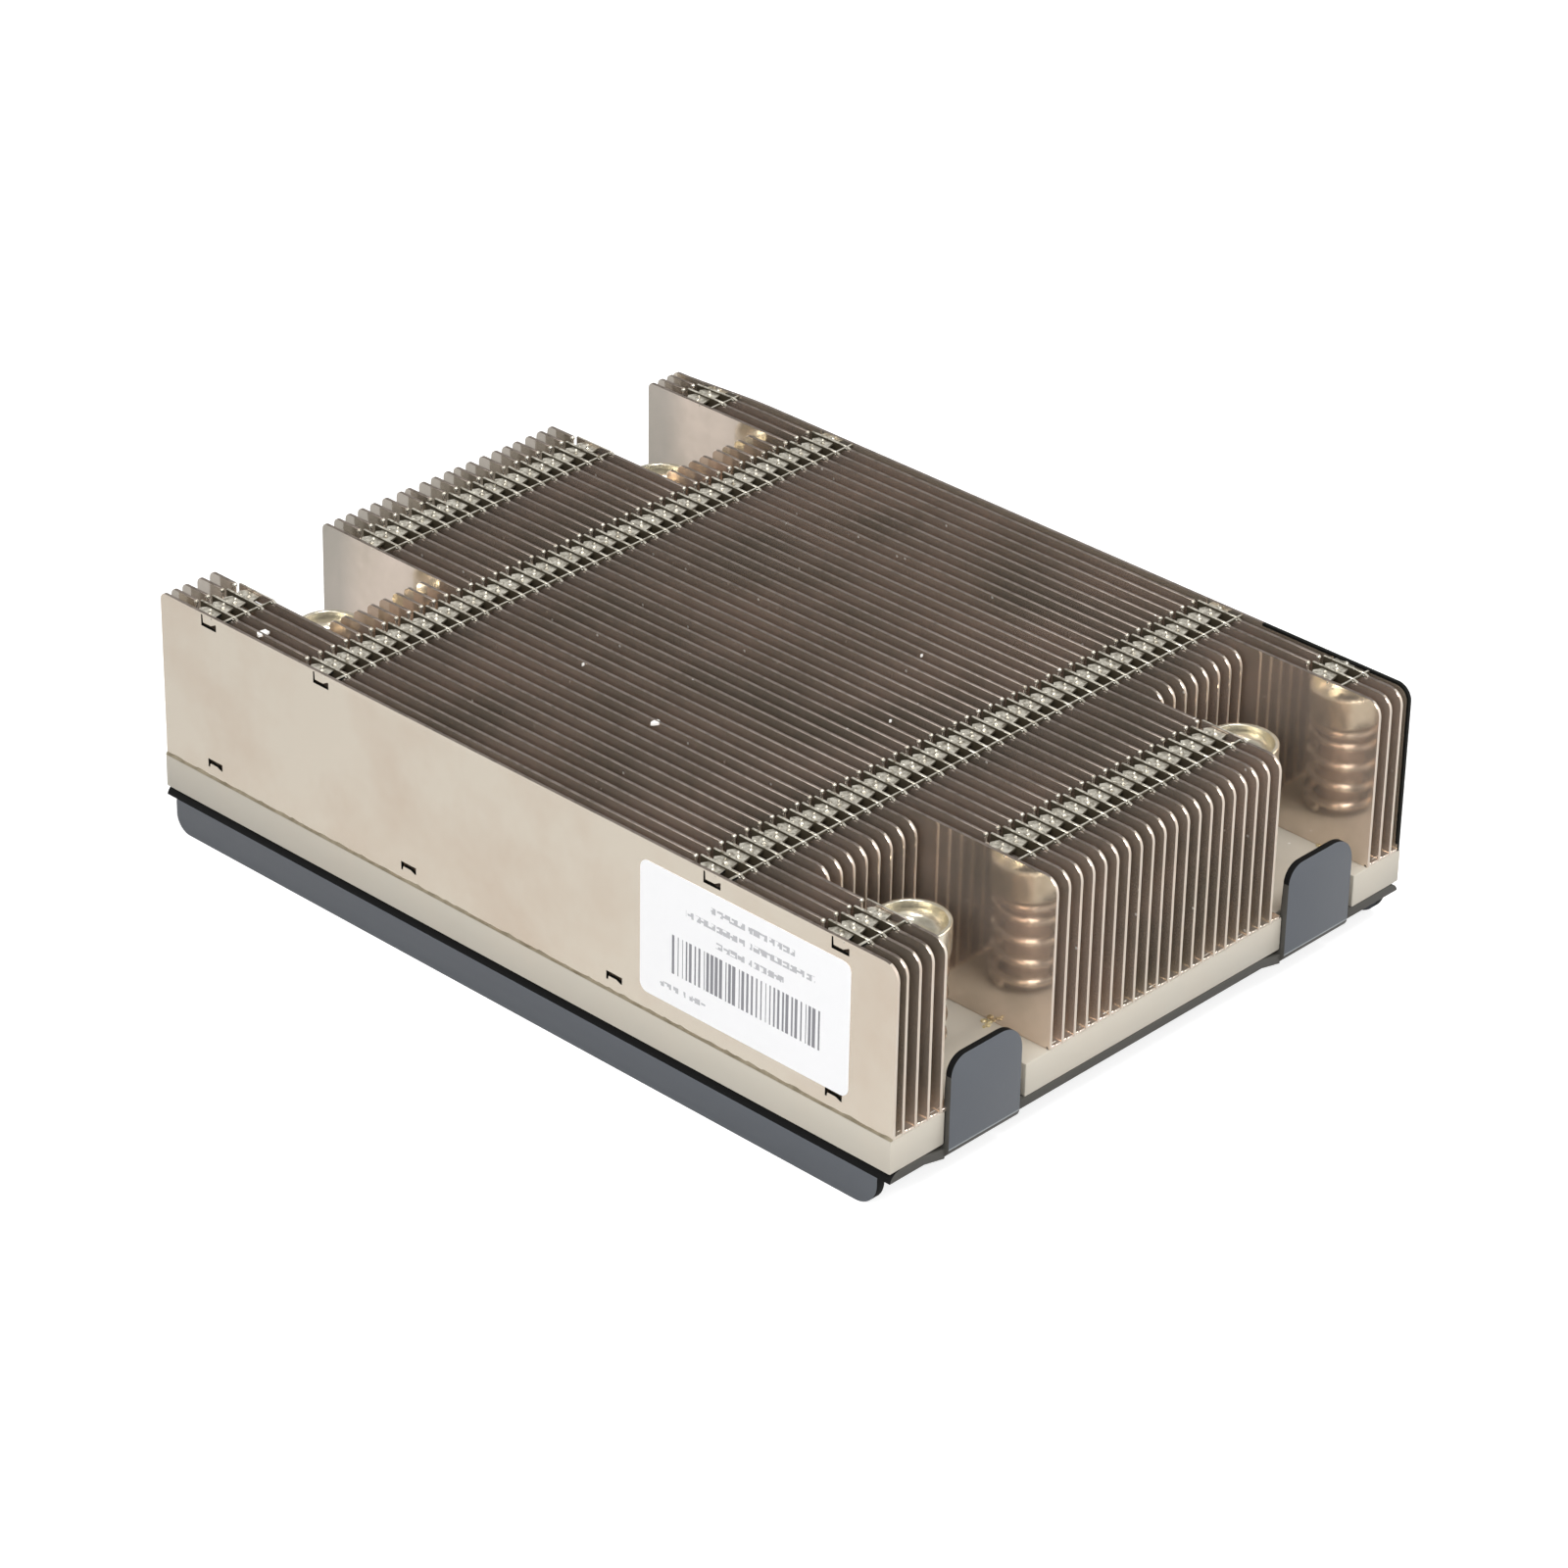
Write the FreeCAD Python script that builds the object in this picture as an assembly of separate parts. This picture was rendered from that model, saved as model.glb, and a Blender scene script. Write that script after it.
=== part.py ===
"""Passive server processor heat sink: a stack of folded sheet fins soldered on a base
plate, a black steel mounting frame under it, and four captive spring screws that stand
in notches at the corners of the stack.

Millimetres, +Z up. X runs across the fins, Y along them. The front end, where the frame's
two tabs rise, faces -Y, and the side that carries the label faces -X. The origin is at the
middle of the footprint, on the plane that the frame's side flanges stand on.
"""
import FreeCAD
import Part
import math
import os

V = FreeCAD.Vector

# Fin stack
fin_spacing = 2.0
fin_thickness = 0.4
fin_height = 21.9
inner_fins = 43
end_fin_gap = 1.5
fin_front_radius = 2.0
fin_front_facets = 2
fin_rear_cut = 0.9
foot_thickness = 0.4

# Folded strips that hook each fin to the next one, in four bands across the stack
flange_thickness = 0.4
front_bands = (5.85, 25.0)
rear_bands = (30.5, 11.0)
band_front_strip = 0.45
band_window = 1.45
band_middle_strip = 2.65

# Hook-shaped slots round the tongues of the outer fins, which the strips grip
slot_width = 2.6
slot_line = 0.4
slot_short_leg = 0.8
top_slot_drop = 1.6
top_slot_offset = 2.45
bottom_slot_rise = 2.3
bottom_slot_leg = 1.6
bottom_slot_inset = 8.8
bottom_slots = 4

# Base plate
base_length = 118.4
base_thickness = 4.3
side_ledge = 0.3
pad_width = 56.0
pad_length = 68.0
pad_proud = 0.6
pad_corner_cut = 1.5

# Screws and what they pass through
screw_spacing_x = 56.0
screw_inset = 12.2
notch_reach_left = 7.0
notch_reach_right = 9.0
notch_run = 6.8
shank_radius = 2.6
screw_hole_clearance = 0.35
head_radius = 4.5
head_height = 3.9
head_cup_radius = 4.0
head_cup_depth = 2.4
head_edge = 0.5
drive_across_flats = 4.0
drive_depth = 1.0
tip_reach = 3.3
tip_length = 0.7
thread_radius = 1.9
spring_length = 12.1
spring_mean_radius = 3.8
spring_wire_radius = 0.5
spring_active_turns = 3.25
spring_end_turns = 1
spring_gap = 0.05
spring_sides = 4
spring_steps_per_turn = 8
ring_thickness = 0.5
ring_across_flats = 7.6
ring_clearance = 0.1
ring_bore_clearance = 0.05

# Mounting frame
frame_thickness = 1.2
flange_drop = 5.4
flange_front_inset = 1.8
flange_rear_inset = 1.7
flange_front_radius = 3.2
flange_rear_radius = 2.3
bend_inner_radius = 0.4
window_clearance = 1.5
tab_spacing = 57.4
tab_offset = 0.65
tab_width = 11.6
tab_height = 11.0
tab_proud = 0.55
tab_left_radius = 2.3
tab_right_radius = 3.6
tab_drop = 0.75
tab_root_depth = 5.5
tab_bend_inner_radius = 0.2
tab_relief_depth = 4.0
tab_side_clearance = 0.4
tab_slope_run = 3.3
cutout_width = 13.2
cutout_clearance = 0.6

# Label on the outer fin
label_length = 31.7
label_height = 17.0
label_front_inset = 6.6
label_rise = 2.4
label_thickness = 0.1
label_corner_radius = 1.2
label_corner_facets = 3

# Places that follow from the sizes above
stack_width = (inner_fins - 1) * fin_spacing + 2 * end_fin_gap + fin_thickness
base_width = stack_width + 2 * side_ledge
y_front = -(base_length + tab_proud) / 2 + tab_proud
y_rear = y_front + base_length
y_middle = (y_front + y_rear) / 2
z_base = flange_drop
z_top = z_base + base_thickness
z_fins = z_top + fin_height
screw_spacing_y = base_length - 2 * screw_inset
notch_depth = screw_inset + notch_run
screw_places = {
    "front_left": (-screw_spacing_x / 2, y_middle - screw_spacing_y / 2),
    "front_right": (screw_spacing_x / 2, y_middle - screw_spacing_y / 2),
    "rear_left": (-screw_spacing_x / 2, y_middle + screw_spacing_y / 2),
    "rear_right": (screw_spacing_x / 2, y_middle + screw_spacing_y / 2),
}
cutout_centres = (-tab_spacing / 2, tab_spacing / 2)
tab_centres = [x - tab_offset for x in cutout_centres]
head_bottom = z_top + spring_length


def box(x0, x1, y0, y1, z0, z1):
    """Block between two corners."""
    return Part.makeBox(x1 - x0, y1 - y0, z1 - z0, V(x0, y0, z0))


def rounded_face(width, height, radii, place):
    """Face of a rectangle whose four corners have their own radii.

    The radii go round from the low corner: low left, low right, high right, high left.
    place turns a pair of flat coordinates into a point in space.
    """
    corners = [(0, 0), (width, 0), (width, height), (0, height)]
    along = [(1, 0), (0, 1), (-1, 0), (0, -1)]
    edges = []
    for i in range(4):
        a, b = corners[i], corners[(i + 1) % 4]
        u = along[i]
        ra, rb = radii[i], radii[(i + 1) % 4]
        start = (a[0] + u[0] * ra, a[1] + u[1] * ra)
        end = (b[0] - u[0] * rb, b[1] - u[1] * rb)
        edges.append(Part.makeLine(place(*start), place(*end)))
        if rb > 0:
            n = along[(i + 1) % 4]
            after = (b[0] + n[0] * rb, b[1] + n[1] * rb)
            pull = rb * (1 - math.sqrt(0.5))
            mid = (b[0] + (n[0] - u[0]) * pull, b[1] + (n[1] - u[1]) * pull)
            edges.append(Part.Arc(place(*end), place(*mid), place(*after)).toShape())
    return Part.Face(Part.Wire(edges))


def polygon_face(points):
    """Face of a closed run of straight edges."""
    return Part.Face(Part.makePolygon(points + [points[0]]))


def round_corners(width, height, radius, facets):
    """Corner points of a flat rectangle from the origin, its corners rounded in facets."""
    turns = ((width, height, 0), (0, height, 1), (0, 0, 2), (width, 0, 3))
    points = []
    for a, b, turn in turns:
        x = a - radius if a else radius
        y = b - radius if b else radius
        for i in range(facets + 1):
            angle = math.pi / 2 * (turn + i / facets)
            points.append((x + radius * math.cos(angle), y + radius * math.sin(angle)))
    return points


def fuse_all(shapes):
    """One clean solid out of pieces that touch or overlap."""
    whole = shapes[0].multiFuse(shapes[1:])
    return whole.removeSplitter()


def solid_of(shape):
    """The single solid that a boolean result holds."""
    if len(shape.Solids) != 1:
        raise RuntimeError("expected one solid, found %d" % len(shape.Solids))
    return shape.Solids[0]


def fin_centres():
    """X of every fin's mid plane, from the labelled side to the far side."""
    half = (inner_fins - 1) / 2
    inner = [(i - half) * fin_spacing for i in range(inner_fins)]
    return [inner[0] - end_fin_gap] + inner + [inner[-1] + end_fin_gap]


def in_notch(x):
    """True for a fin that stops short of the screws."""
    for side in (-1, 1):
        offset = x - side * screw_spacing_x / 2
        if -notch_reach_left < offset < notch_reach_right:
            return True
    return False


def band_starts():
    """Front edge of each band of interlocking strips."""
    fronts = [y_front + inset for inset in front_bands]
    return fronts + [y_rear - inset for inset in rear_bands]


def fin_span(x):
    """Front and rear end of the fin at x."""
    if in_notch(x):
        return y_front + notch_depth, y_rear - notch_depth
    return y_front, y_rear


def hook_slot(x0, y, z, up, long_leg, short_leg):
    """Slit across at height z with a leg at either end; up is 1 or -1."""
    half = slot_width / 2
    outline = [
        (-half, 0),
        (half, 0),
        (half, long_leg),
        (half - slot_line, long_leg),
        (half - slot_line, slot_line),
        (slot_line - half, slot_line),
        (slot_line - half, short_leg),
        (-half, short_leg),
    ]
    points = [V(x0, y + a, z + up * b) for a, b in outline]
    return polygon_face(points).extrude(V(fin_thickness, 0, 0))


def fin_slots(x0):
    """Slots of an outer fin: one under each band of strips and a row above the foot."""
    high = z_fins - top_slot_drop
    low = z_top + bottom_slot_rise
    step = (base_length - 2 * bottom_slot_inset) / (bottom_slots - 1)
    cuts = []
    for start in band_starts():
        y = start + top_slot_offset
        cuts.append(hook_slot(x0, y, high, 1, top_slot_drop, slot_short_leg))
    for i in range(bottom_slots):
        y = y_front + bottom_slot_inset + i * step
        cuts.append(hook_slot(x0, y, low, -1, bottom_slot_leg, bottom_slot_leg))
    return Part.makeCompound(cuts)


def fin_plate(x0, y0, y1):
    """Flat sheet of a fin: its front top corner is rounded in facets, its rear one cut."""
    points = [V(x0, y0, z_top), V(x0, y1, z_top)]
    points += [V(x0, y1, z_fins - fin_rear_cut), V(x0, y1 - fin_rear_cut, z_fins)]
    r = fin_front_radius
    for i in range(fin_front_facets + 1):
        angle = math.pi / 2 * (1 + i / fin_front_facets)
        points.append(V(x0, y0 + r + r * math.cos(angle), z_fins - r + r * math.sin(angle)))
    return polygon_face(points).extrude(V(fin_thickness, 0, 0))


def make_fin(x, reach, outer):
    """Folded sheet fin: plate, foot along its bottom edge and strips along its top edge.

    reach is how far the foot and the strips go to meet the next fin's face.
    """
    y0, y1 = fin_span(x)
    x0 = x - fin_thickness / 2
    plate = fin_plate(x0, y0, y1)
    if outer:
        plate = plate.cut(fin_slots(x0))
    if reach <= 0:
        return solid_of(plate)
    inside = x0 + fin_thickness / 2
    outside = x0 + fin_thickness + reach
    parts = [plate, box(inside, outside, y0, y1, z_top, z_top + foot_thickness)]
    low = z_fins - flange_thickness
    for start in band_starts():
        middle = start + band_front_strip + band_window
        strips = [(start, start + band_front_strip), (middle, middle + band_middle_strip)]
        for a, b in strips:
            if y0 + fin_front_radius < a and b < y1 - fin_rear_cut:
                parts.append(box(inside, outside, a, b, low, z_fins))
    return solid_of(fuse_all(parts))


def make_fins():
    """The whole stack, one solid a fin."""
    centres = fin_centres()
    fins = {}
    for i, x in enumerate(centres):
        last = i == len(centres) - 1
        reach = 0 if last else centres[i + 1] - x - fin_thickness
        fins["fin_%02d" % (i + 1)] = make_fin(x, reach, i == 0 or last)
    return fins


def cutout_depth():
    """How far the base plate is cut back behind each tab."""
    return frame_thickness - tab_proud + cutout_clearance


def cut_corners(width, length, cut, z):
    """Outline of a rectangle about the base's middle with its corners cut off."""
    a, b = width / 2, length / 2
    flat = [(-a, -b + cut), (-a + cut, -b), (a - cut, -b), (a, -b + cut),
            (a, b - cut), (a - cut, b), (-a + cut, b), (-a, b - cut)]
    return polygon_face([V(x, y_middle + y, z) for x, y in flat])


def screw_holes(z, height):
    """Clearance holes for the four screws."""
    r = shank_radius + screw_hole_clearance
    return [Part.makeCylinder(r, height, V(x, y, z)) for x, y in screw_places.values()]


def make_base():
    """Base plate with its contact pad, screw holes and cut-outs for the tabs."""
    half = base_width / 2
    plate = box(-half, half, y_front, y_rear, z_base, z_top)
    pad_low = z_base - frame_thickness - pad_proud
    pad = cut_corners(pad_width, pad_length, pad_corner_cut, pad_low)
    whole = fuse_all([plate, pad.extrude(V(0, 0, z_base - pad_low))])
    cuts = screw_holes(z_base, base_thickness)
    reach = cutout_width / 2
    for x in cutout_centres:
        cuts.append(box(x - reach, x + reach, y_front, y_front + cutout_depth(), z_base, z_top))
    return solid_of(whole.cut(Part.makeCompound(cuts)))


def frame_section():
    """Cross section of the frame: a plate whose two long sides are bent down."""
    half = base_width / 2
    outer = bend_inner_radius + frame_thickness
    inner = bend_inner_radius
    slant = math.sqrt(0.5)
    edges = []

    def line(a, b):
        edges.append(Part.makeLine(V(a[0], 0, a[1]), V(b[0], 0, b[1])))

    def arc(centre, radius, a, b, side):
        mid = (centre[0] + side * radius * slant, centre[1] + radius * slant)
        points = [V(p[0], 0, p[1]) for p in (a, mid, b)]
        edges.append(Part.Arc(*points).toShape())

    low = z_base - flange_drop
    bend_z = z_base - outer
    under = z_base - frame_thickness
    line((-half + outer, z_base), (half - outer, z_base))
    arc((half - outer, bend_z), outer, (half - outer, z_base), (half, bend_z), 1)
    line((half, bend_z), (half, low))
    line((half, low), (half - frame_thickness, low))
    line((half - frame_thickness, low), (half - frame_thickness, bend_z))
    arc((half - outer, bend_z), inner, (half - frame_thickness, bend_z), (half - outer, under), 1)
    line((half - outer, under), (-half + outer, under))
    arc((-half + outer, bend_z), inner, (-half + outer, under), (-half + frame_thickness, bend_z), -1)
    line((-half + frame_thickness, bend_z), (-half + frame_thickness, low))
    line((-half + frame_thickness, low), (-half, low))
    line((-half, low), (-half, bend_z))
    arc((-half + outer, bend_z), outer, (-half, bend_z), (-half + outer, z_base), -1)
    return Part.Face(Part.Wire(edges))


def frame_side():
    """Side outline of the frame: full length plate, shorter flanges with round corners."""
    half = base_width / 2
    plate = box(-half, half, y_front, y_rear, z_base - frame_thickness, z_base)
    start, low = y_front + flange_front_inset, z_base - flange_drop
    length = base_length - flange_front_inset - flange_rear_inset
    radii = (flange_front_radius, flange_rear_radius, 0, 0)
    outline = rounded_face(length, flange_drop, radii, lambda a, b: V(-half, start + a, low + b))
    return fuse_all([plate, outline.extrude(V(base_width, 0, 0))])


def make_tab(x):
    """Upturned tab with its dropped root, and the slope that leads down to the root."""
    left, right = x - tab_width / 2, x + tab_width / 2
    inner = tab_bend_inner_radius
    outer = inner + frame_thickness
    face_y = y_front - tab_proud
    back_y = face_y + frame_thickness
    low = z_base - frame_thickness - tab_drop
    floor = z_base - tab_drop
    top = z_base + tab_height
    root = y_front + tab_root_depth
    slant = math.sqrt(0.5)

    def p(y, z):
        return V(left, y, z)

    outer_mid = p(face_y + outer * (1 - slant), low + outer * (1 - slant))
    inner_mid = p(back_y + inner * (1 - slant), floor + inner * (1 - slant))
    edges = [
        Part.makeLine(p(root, low), p(face_y + outer, low)),
        Part.Arc(p(face_y + outer, low), outer_mid, p(face_y, low + outer)).toShape(),
        Part.makeLine(p(face_y, low + outer), p(face_y, top)),
        Part.makeLine(p(face_y, top), p(back_y, top)),
        Part.makeLine(p(back_y, top), p(back_y, floor + inner)),
        Part.Arc(p(back_y, floor + inner), inner_mid, p(back_y + inner, floor)).toShape(),
        Part.makeLine(p(back_y + inner, floor), p(root, floor)),
        Part.makeLine(p(root, floor), p(root, low)),
    ]
    folded = Part.Face(Part.Wire(edges)).extrude(V(tab_width, 0, 0))
    outline = rounded_face(tab_width, top - low, (0, 0, tab_right_radius, tab_left_radius),
                           lambda a, b: V(left + a, face_y, low + b))
    folded = folded.common(outline.extrude(V(0, root - face_y, 0)))
    slope = polygon_face([
        V(left - tab_slope_run, y_front, z_base),
        V(left, y_front, floor),
        V(left, y_front, low),
        V(left - tab_slope_run, y_front, z_base - frame_thickness),
    ]).extrude(V(0, tab_root_depth, 0))
    return [folded, slope]


def make_frame():
    """Steel frame: window for the pad, screw holes, side flanges and tabs."""
    prism = frame_section()
    prism.translate(V(0, y_front, 0))
    whole = prism.extrude(V(0, base_length, 0)).common(frame_side())
    low = z_base - frame_thickness
    window = cut_corners(pad_width + 2 * window_clearance, pad_length + 2 * window_clearance,
                         pad_corner_cut + window_clearance, low)
    cuts = screw_holes(low, frame_thickness) + [window.extrude(V(0, 0, frame_thickness))]
    for x in tab_centres:
        left = x - tab_width / 2 - tab_slope_run
        right = x + tab_width / 2 + tab_side_clearance
        cuts.append(box(left, right, y_front, y_front + tab_relief_depth, low, z_base))
    whole = whole.cut(Part.makeCompound(cuts))
    parts = [whole]
    for x in tab_centres:
        parts += make_tab(x)
    return solid_of(fuse_all(parts))


def revolve_profile(x, y, points):
    """Solid of revolution about the upright line at x, y, from (radius, z) points."""
    flat = polygon_face([V(x + r, y, z) for r, z in points])
    return flat.revolve(V(x, y, 0), V(0, 0, 1), 360)


def hexagon(x, y, z, across_flats, height):
    """Upright hexagonal prism about the line at x, y."""
    reach = across_flats / math.sqrt(3)
    angles = [math.radians(60 * i) for i in range(6)]
    corners = [V(x + reach * math.cos(a), y + reach * math.sin(a), z) for a in angles]
    return polygon_face(corners).extrude(V(0, 0, height))


def ring_bottom():
    """Underside of the retaining rings, which sit close under the frame."""
    return z_base - frame_thickness - ring_clearance - ring_thickness


def make_screw(x, y):
    """Captive screw: cupped head with a hexagon drive, shank, thread and cone point."""
    top = head_bottom + head_height
    cup = top - head_cup_depth
    tip = z_base - tip_reach
    shoulder = ring_bottom() - ring_clearance
    profile = [
        (0, tip),
        (thread_radius, tip + tip_length),
        (thread_radius, shoulder),
        (shank_radius, shoulder),
        (shank_radius, head_bottom),
        (head_radius, head_bottom),
        (head_radius, top - head_edge),
        (head_cup_radius, top),
        (head_cup_radius, cup),
        (0, cup),
    ]
    screw = revolve_profile(x, y, profile)
    drive = hexagon(x, y, cup - drive_depth, drive_across_flats, drive_depth)
    return solid_of(screw.cut(drive))


def make_ring(x, y):
    """Flat hexagonal retaining ring that is pushed onto the shank under the frame."""
    low = ring_bottom()
    bore = shank_radius + ring_bore_clearance
    ring = hexagon(x, y, low, ring_across_flats, ring_thickness)
    return solid_of(ring.cut(Part.makeCylinder(bore, ring_thickness, V(x, y, low))))


def spring_rise(turn):
    """Height of the wire's centre above its start after a number of turns."""
    closed = 2 * spring_wire_radius + spring_gap
    span = spring_length - 2 * spring_gap - 2 * spring_wire_radius
    active_pitch = (span - 2 * spring_end_turns * closed) / spring_active_turns
    if turn <= spring_end_turns:
        return turn * closed
    if turn <= spring_end_turns + spring_active_turns:
        return spring_end_turns * closed + (turn - spring_end_turns) * active_pitch
    rest = turn - spring_end_turns - spring_active_turns
    return spring_end_turns * closed + spring_active_turns * active_pitch + rest * closed


def make_spring(x, y):
    """Compression spring with closed ends: a wire of flats wound round the shank."""
    turns = spring_active_turns + 2 * spring_end_turns
    start = z_top + spring_gap + spring_wire_radius
    wires = []
    steps = round(turns * spring_steps_per_turn)
    for i in range(steps + 1):
        turn = i / spring_steps_per_turn
        angle = 2 * math.pi * turn
        out = V(math.cos(angle), math.sin(angle), 0)
        centre = V(x, y, start + spring_rise(turn)) + out * spring_mean_radius
        corners = []
        for k in range(spring_sides):
            a = 2 * math.pi * k / spring_sides
            offset = out * (spring_wire_radius * math.cos(a))
            corners.append(centre + offset + V(0, 0, spring_wire_radius * math.sin(a)))
        wires.append(corners)
    faces = [polygon_face(wires[0]), polygon_face(wires[-1])]
    for a, b in zip(wires, wires[1:]):
        for k in range(spring_sides):
            m = (k + 1) % spring_sides
            faces.append(polygon_face([a[k], a[m], b[m]]))
            faces.append(polygon_face([a[k], b[m], b[k]]))
    shell = Part.Shell(faces)
    shell.sewShape()
    solid = Part.Solid(shell)
    solid.fixTolerance(1e-4)
    if solid.Volume < 0:
        solid.reverse()
    return solid


def make_label():
    """Blank adhesive label on the outer fin's face."""
    x = -stack_width / 2 - label_thickness
    y = y_front + label_front_inset
    z = z_top + label_rise
    points = round_corners(label_length, label_height, label_corner_radius, label_corner_facets)
    face = polygon_face([V(x, y + a, z + b) for a, b in points])
    return face.extrude(V(label_thickness, 0, 0))


def build():
    """Every piece of the heat sink by its name."""
    pieces = {"base_plate": make_base(), "mounting_frame": make_frame(), "label": make_label()}
    pieces.update(make_fins())
    for corner, (x, y) in screw_places.items():
        pieces["captive_screw_" + corner] = make_screw(x, y)
        pieces["retaining_ring_" + corner] = make_ring(x, y)
        pieces["spring_" + corner] = make_spring(x, y)
    return pieces


def main():
    """Write one STEP file for each piece."""
    os.makedirs("parts", exist_ok=True)
    for name, shape in build().items():
        if not shape.isValid():
            raise RuntimeError("invalid shape: " + name)
        shape.exportStep(os.path.join("parts", name + ".step"))


main()
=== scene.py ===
"""Looks of the server processor heat sink, laid out as a Blender add-on.

Lengths are in metres, as in model.glb. X runs across the fins, Y along them and Z up.
The front end, with the two tabs, faces -Y, and the labelled side faces -X.
"""
import math
import random

import bmesh
import bpy
from bpy.props import FloatProperty, FloatVectorProperty, IntProperty, PointerProperty
from bpy.types import Operator, Panel, PropertyGroup
from mathutils import Matrix, Vector


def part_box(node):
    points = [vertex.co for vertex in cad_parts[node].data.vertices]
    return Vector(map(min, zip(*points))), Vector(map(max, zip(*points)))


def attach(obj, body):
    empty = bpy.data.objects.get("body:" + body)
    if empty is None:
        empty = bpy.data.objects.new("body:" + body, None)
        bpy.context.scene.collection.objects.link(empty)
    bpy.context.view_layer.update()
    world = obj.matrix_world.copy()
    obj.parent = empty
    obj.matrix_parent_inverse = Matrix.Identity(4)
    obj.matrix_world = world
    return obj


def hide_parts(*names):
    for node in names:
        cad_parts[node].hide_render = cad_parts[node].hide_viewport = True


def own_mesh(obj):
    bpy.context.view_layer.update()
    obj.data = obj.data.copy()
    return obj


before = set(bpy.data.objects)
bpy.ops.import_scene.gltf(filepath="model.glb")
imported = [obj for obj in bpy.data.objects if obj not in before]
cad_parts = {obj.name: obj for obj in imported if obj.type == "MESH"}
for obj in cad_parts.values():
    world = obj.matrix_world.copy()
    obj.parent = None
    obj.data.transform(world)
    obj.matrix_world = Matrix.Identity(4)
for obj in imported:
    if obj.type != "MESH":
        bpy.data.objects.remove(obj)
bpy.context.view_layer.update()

bl_info = {
    "name": "Server Heat Sink",
    "version": (1, 0, 0),
    "blender": (4, 5, 0),
    "location": "View3D > Sidebar > Heat Sink",
    "description": "Builds a passive server processor heat sink piece by piece",
    "category": "Add Mesh",
}

MM = 0.001
BODY = "heat_sink"
CORNERS = ("front_left", "front_right", "rear_left", "rear_right")

# Places read from the CAD parts in model.glb
BASE_LOW, BASE_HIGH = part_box("base_plate")
FRAME_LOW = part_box("mounting_frame")[0]
FIN_COUNT = 45
FINS = [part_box("fin_%02d" % (i + 1)) for i in range(FIN_COUNT)]
FIN_TOP = FINS[0][1].z
FIN_FLOOR = FINS[0][0].z
SHEET = FINS[-1][1].x - FINS[-1][0].x
FRONT, REAR = FINS[0][0].y, FINS[0][1].y

# Sizes that the boxes don't give
PLATE_THICKNESS = 4.3 * MM
FRAME_TOP = BASE_HIGH.z - PLATE_THICKNESS
HEAD_HEIGHT = 3.9 * MM
COIL_GAP = 0.05 * MM

WHITE = (1.0, 1.0, 1.0, 1.0)


# Settings that the sidebar shows


def length(name, description, default):
    """A length property in metres, shown in the scene's unit."""
    return FloatProperty(name=name, description=description, default=default, unit="LENGTH",
                         precision=5)


def colour(name, description, default):
    """A colour property."""
    return FloatVectorProperty(name=name, description=description, default=default,
                               subtype="COLOR", size=3, min=0.0, max=1.0)


class HeatSinkFinSettings(PropertyGroup):
    corner: length("Front corner", "Radius of the fins' front top corners", 2.0 * MM)
    rear: length("Rear corner", "Radius of the fins' rear top corners", 0.9 * MM)
    edge: length("Edge rounding", "Rounding of the sheet's cut edges", 0.07 * MM)
    jog: length("Jog", "Sideways step of the top edge inside a band", 0.4 * MM)
    strip_drop: length("Strip drop", "How far the strips lie under the fins' top", 0.08 * MM)
    wall: length("Wall depth", "Depth of the folded walls inside a band", 1.3 * MM)
    lean: length("Lean", "Largest sideways lean of a fin's rear end", 0.22 * MM)
    tint: colour("Outer metal", "Colour of the two outer fins", (0.74, 0.665, 0.56))
    inner: colour("Inner metal", "Colour of the fins between them", (0.79, 0.67, 0.575))
    # The cut edge colour is painted shade: it keeps the fins' upward-facing top edges darker
    # than their faces.
    rim: colour("Cut edge", "Colour of the fins' cut top edges", (0.34, 0.285, 0.245))
    # The shade colour is painted shade: near black on the band walls, so the windows between the
    # folds look shadowed.
    shade: colour("Shade", "Colour of the folds' inner walls", (0.036, 0.027, 0.012))
    seed: IntProperty(name="Seed", description="Seed of the fins' small bends", default=7)


class HeatSinkPlateSettings(PropertyGroup):
    edge: length("Edge rounding", "Rounding of the plate's edges", 0.18 * MM)
    tint: colour("Metal", "Colour of the plated base", (0.56, 0.52, 0.445))


class HeatSinkFrameSettings(PropertyGroup):
    edge: length("Edge rounding", "Rounding of the sheet's edges", 0.14 * MM)
    thinning: length("Tab thinning", "How much thinner the tabs are at their top", 0.4 * MM)
    paint: colour("Paint", "Colour of the painted faces", (0.085, 0.094, 0.108))
    cut: colour("Cut edge", "Colour of the sheet's cut edges", (0.006, 0.006, 0.006))
    # The worn edge colour is painted shade on the lower rounding of the tabs' bends and along
    # the sheet's edge under the base.
    edge_shade: colour("Worn edge", "Colour of the worn front edges", (0.065, 0.062, 0.055))
    # The glint colour is a painted highlight, a light line along the lower edge of the tabs'
    # bends.
    painted_glint: colour("Glint", "Colour of the line along the tabs' bends", (0.27, 0.29, 0.30))


class HeatSinkScrewSettings(PropertyGroup):
    rim: length("Rim rounding", "Rounding of the head's rim", 0.25 * MM)
    cup: length("Cup depth", "Depth of the cup in the head", 2.4 * MM)
    shank: length("Shank radius", "Radius of the smooth shank", 2.6 * MM)
    thread: length("Thread radius", "Radius of the threaded end", 1.9 * MM)
    tint: colour("Plating", "Colour of the yellow plating", (0.82, 0.77, 0.64))
    lower: colour("Shank", "Colour of the shank inside the spring", (0.66, 0.53, 0.43))


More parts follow.
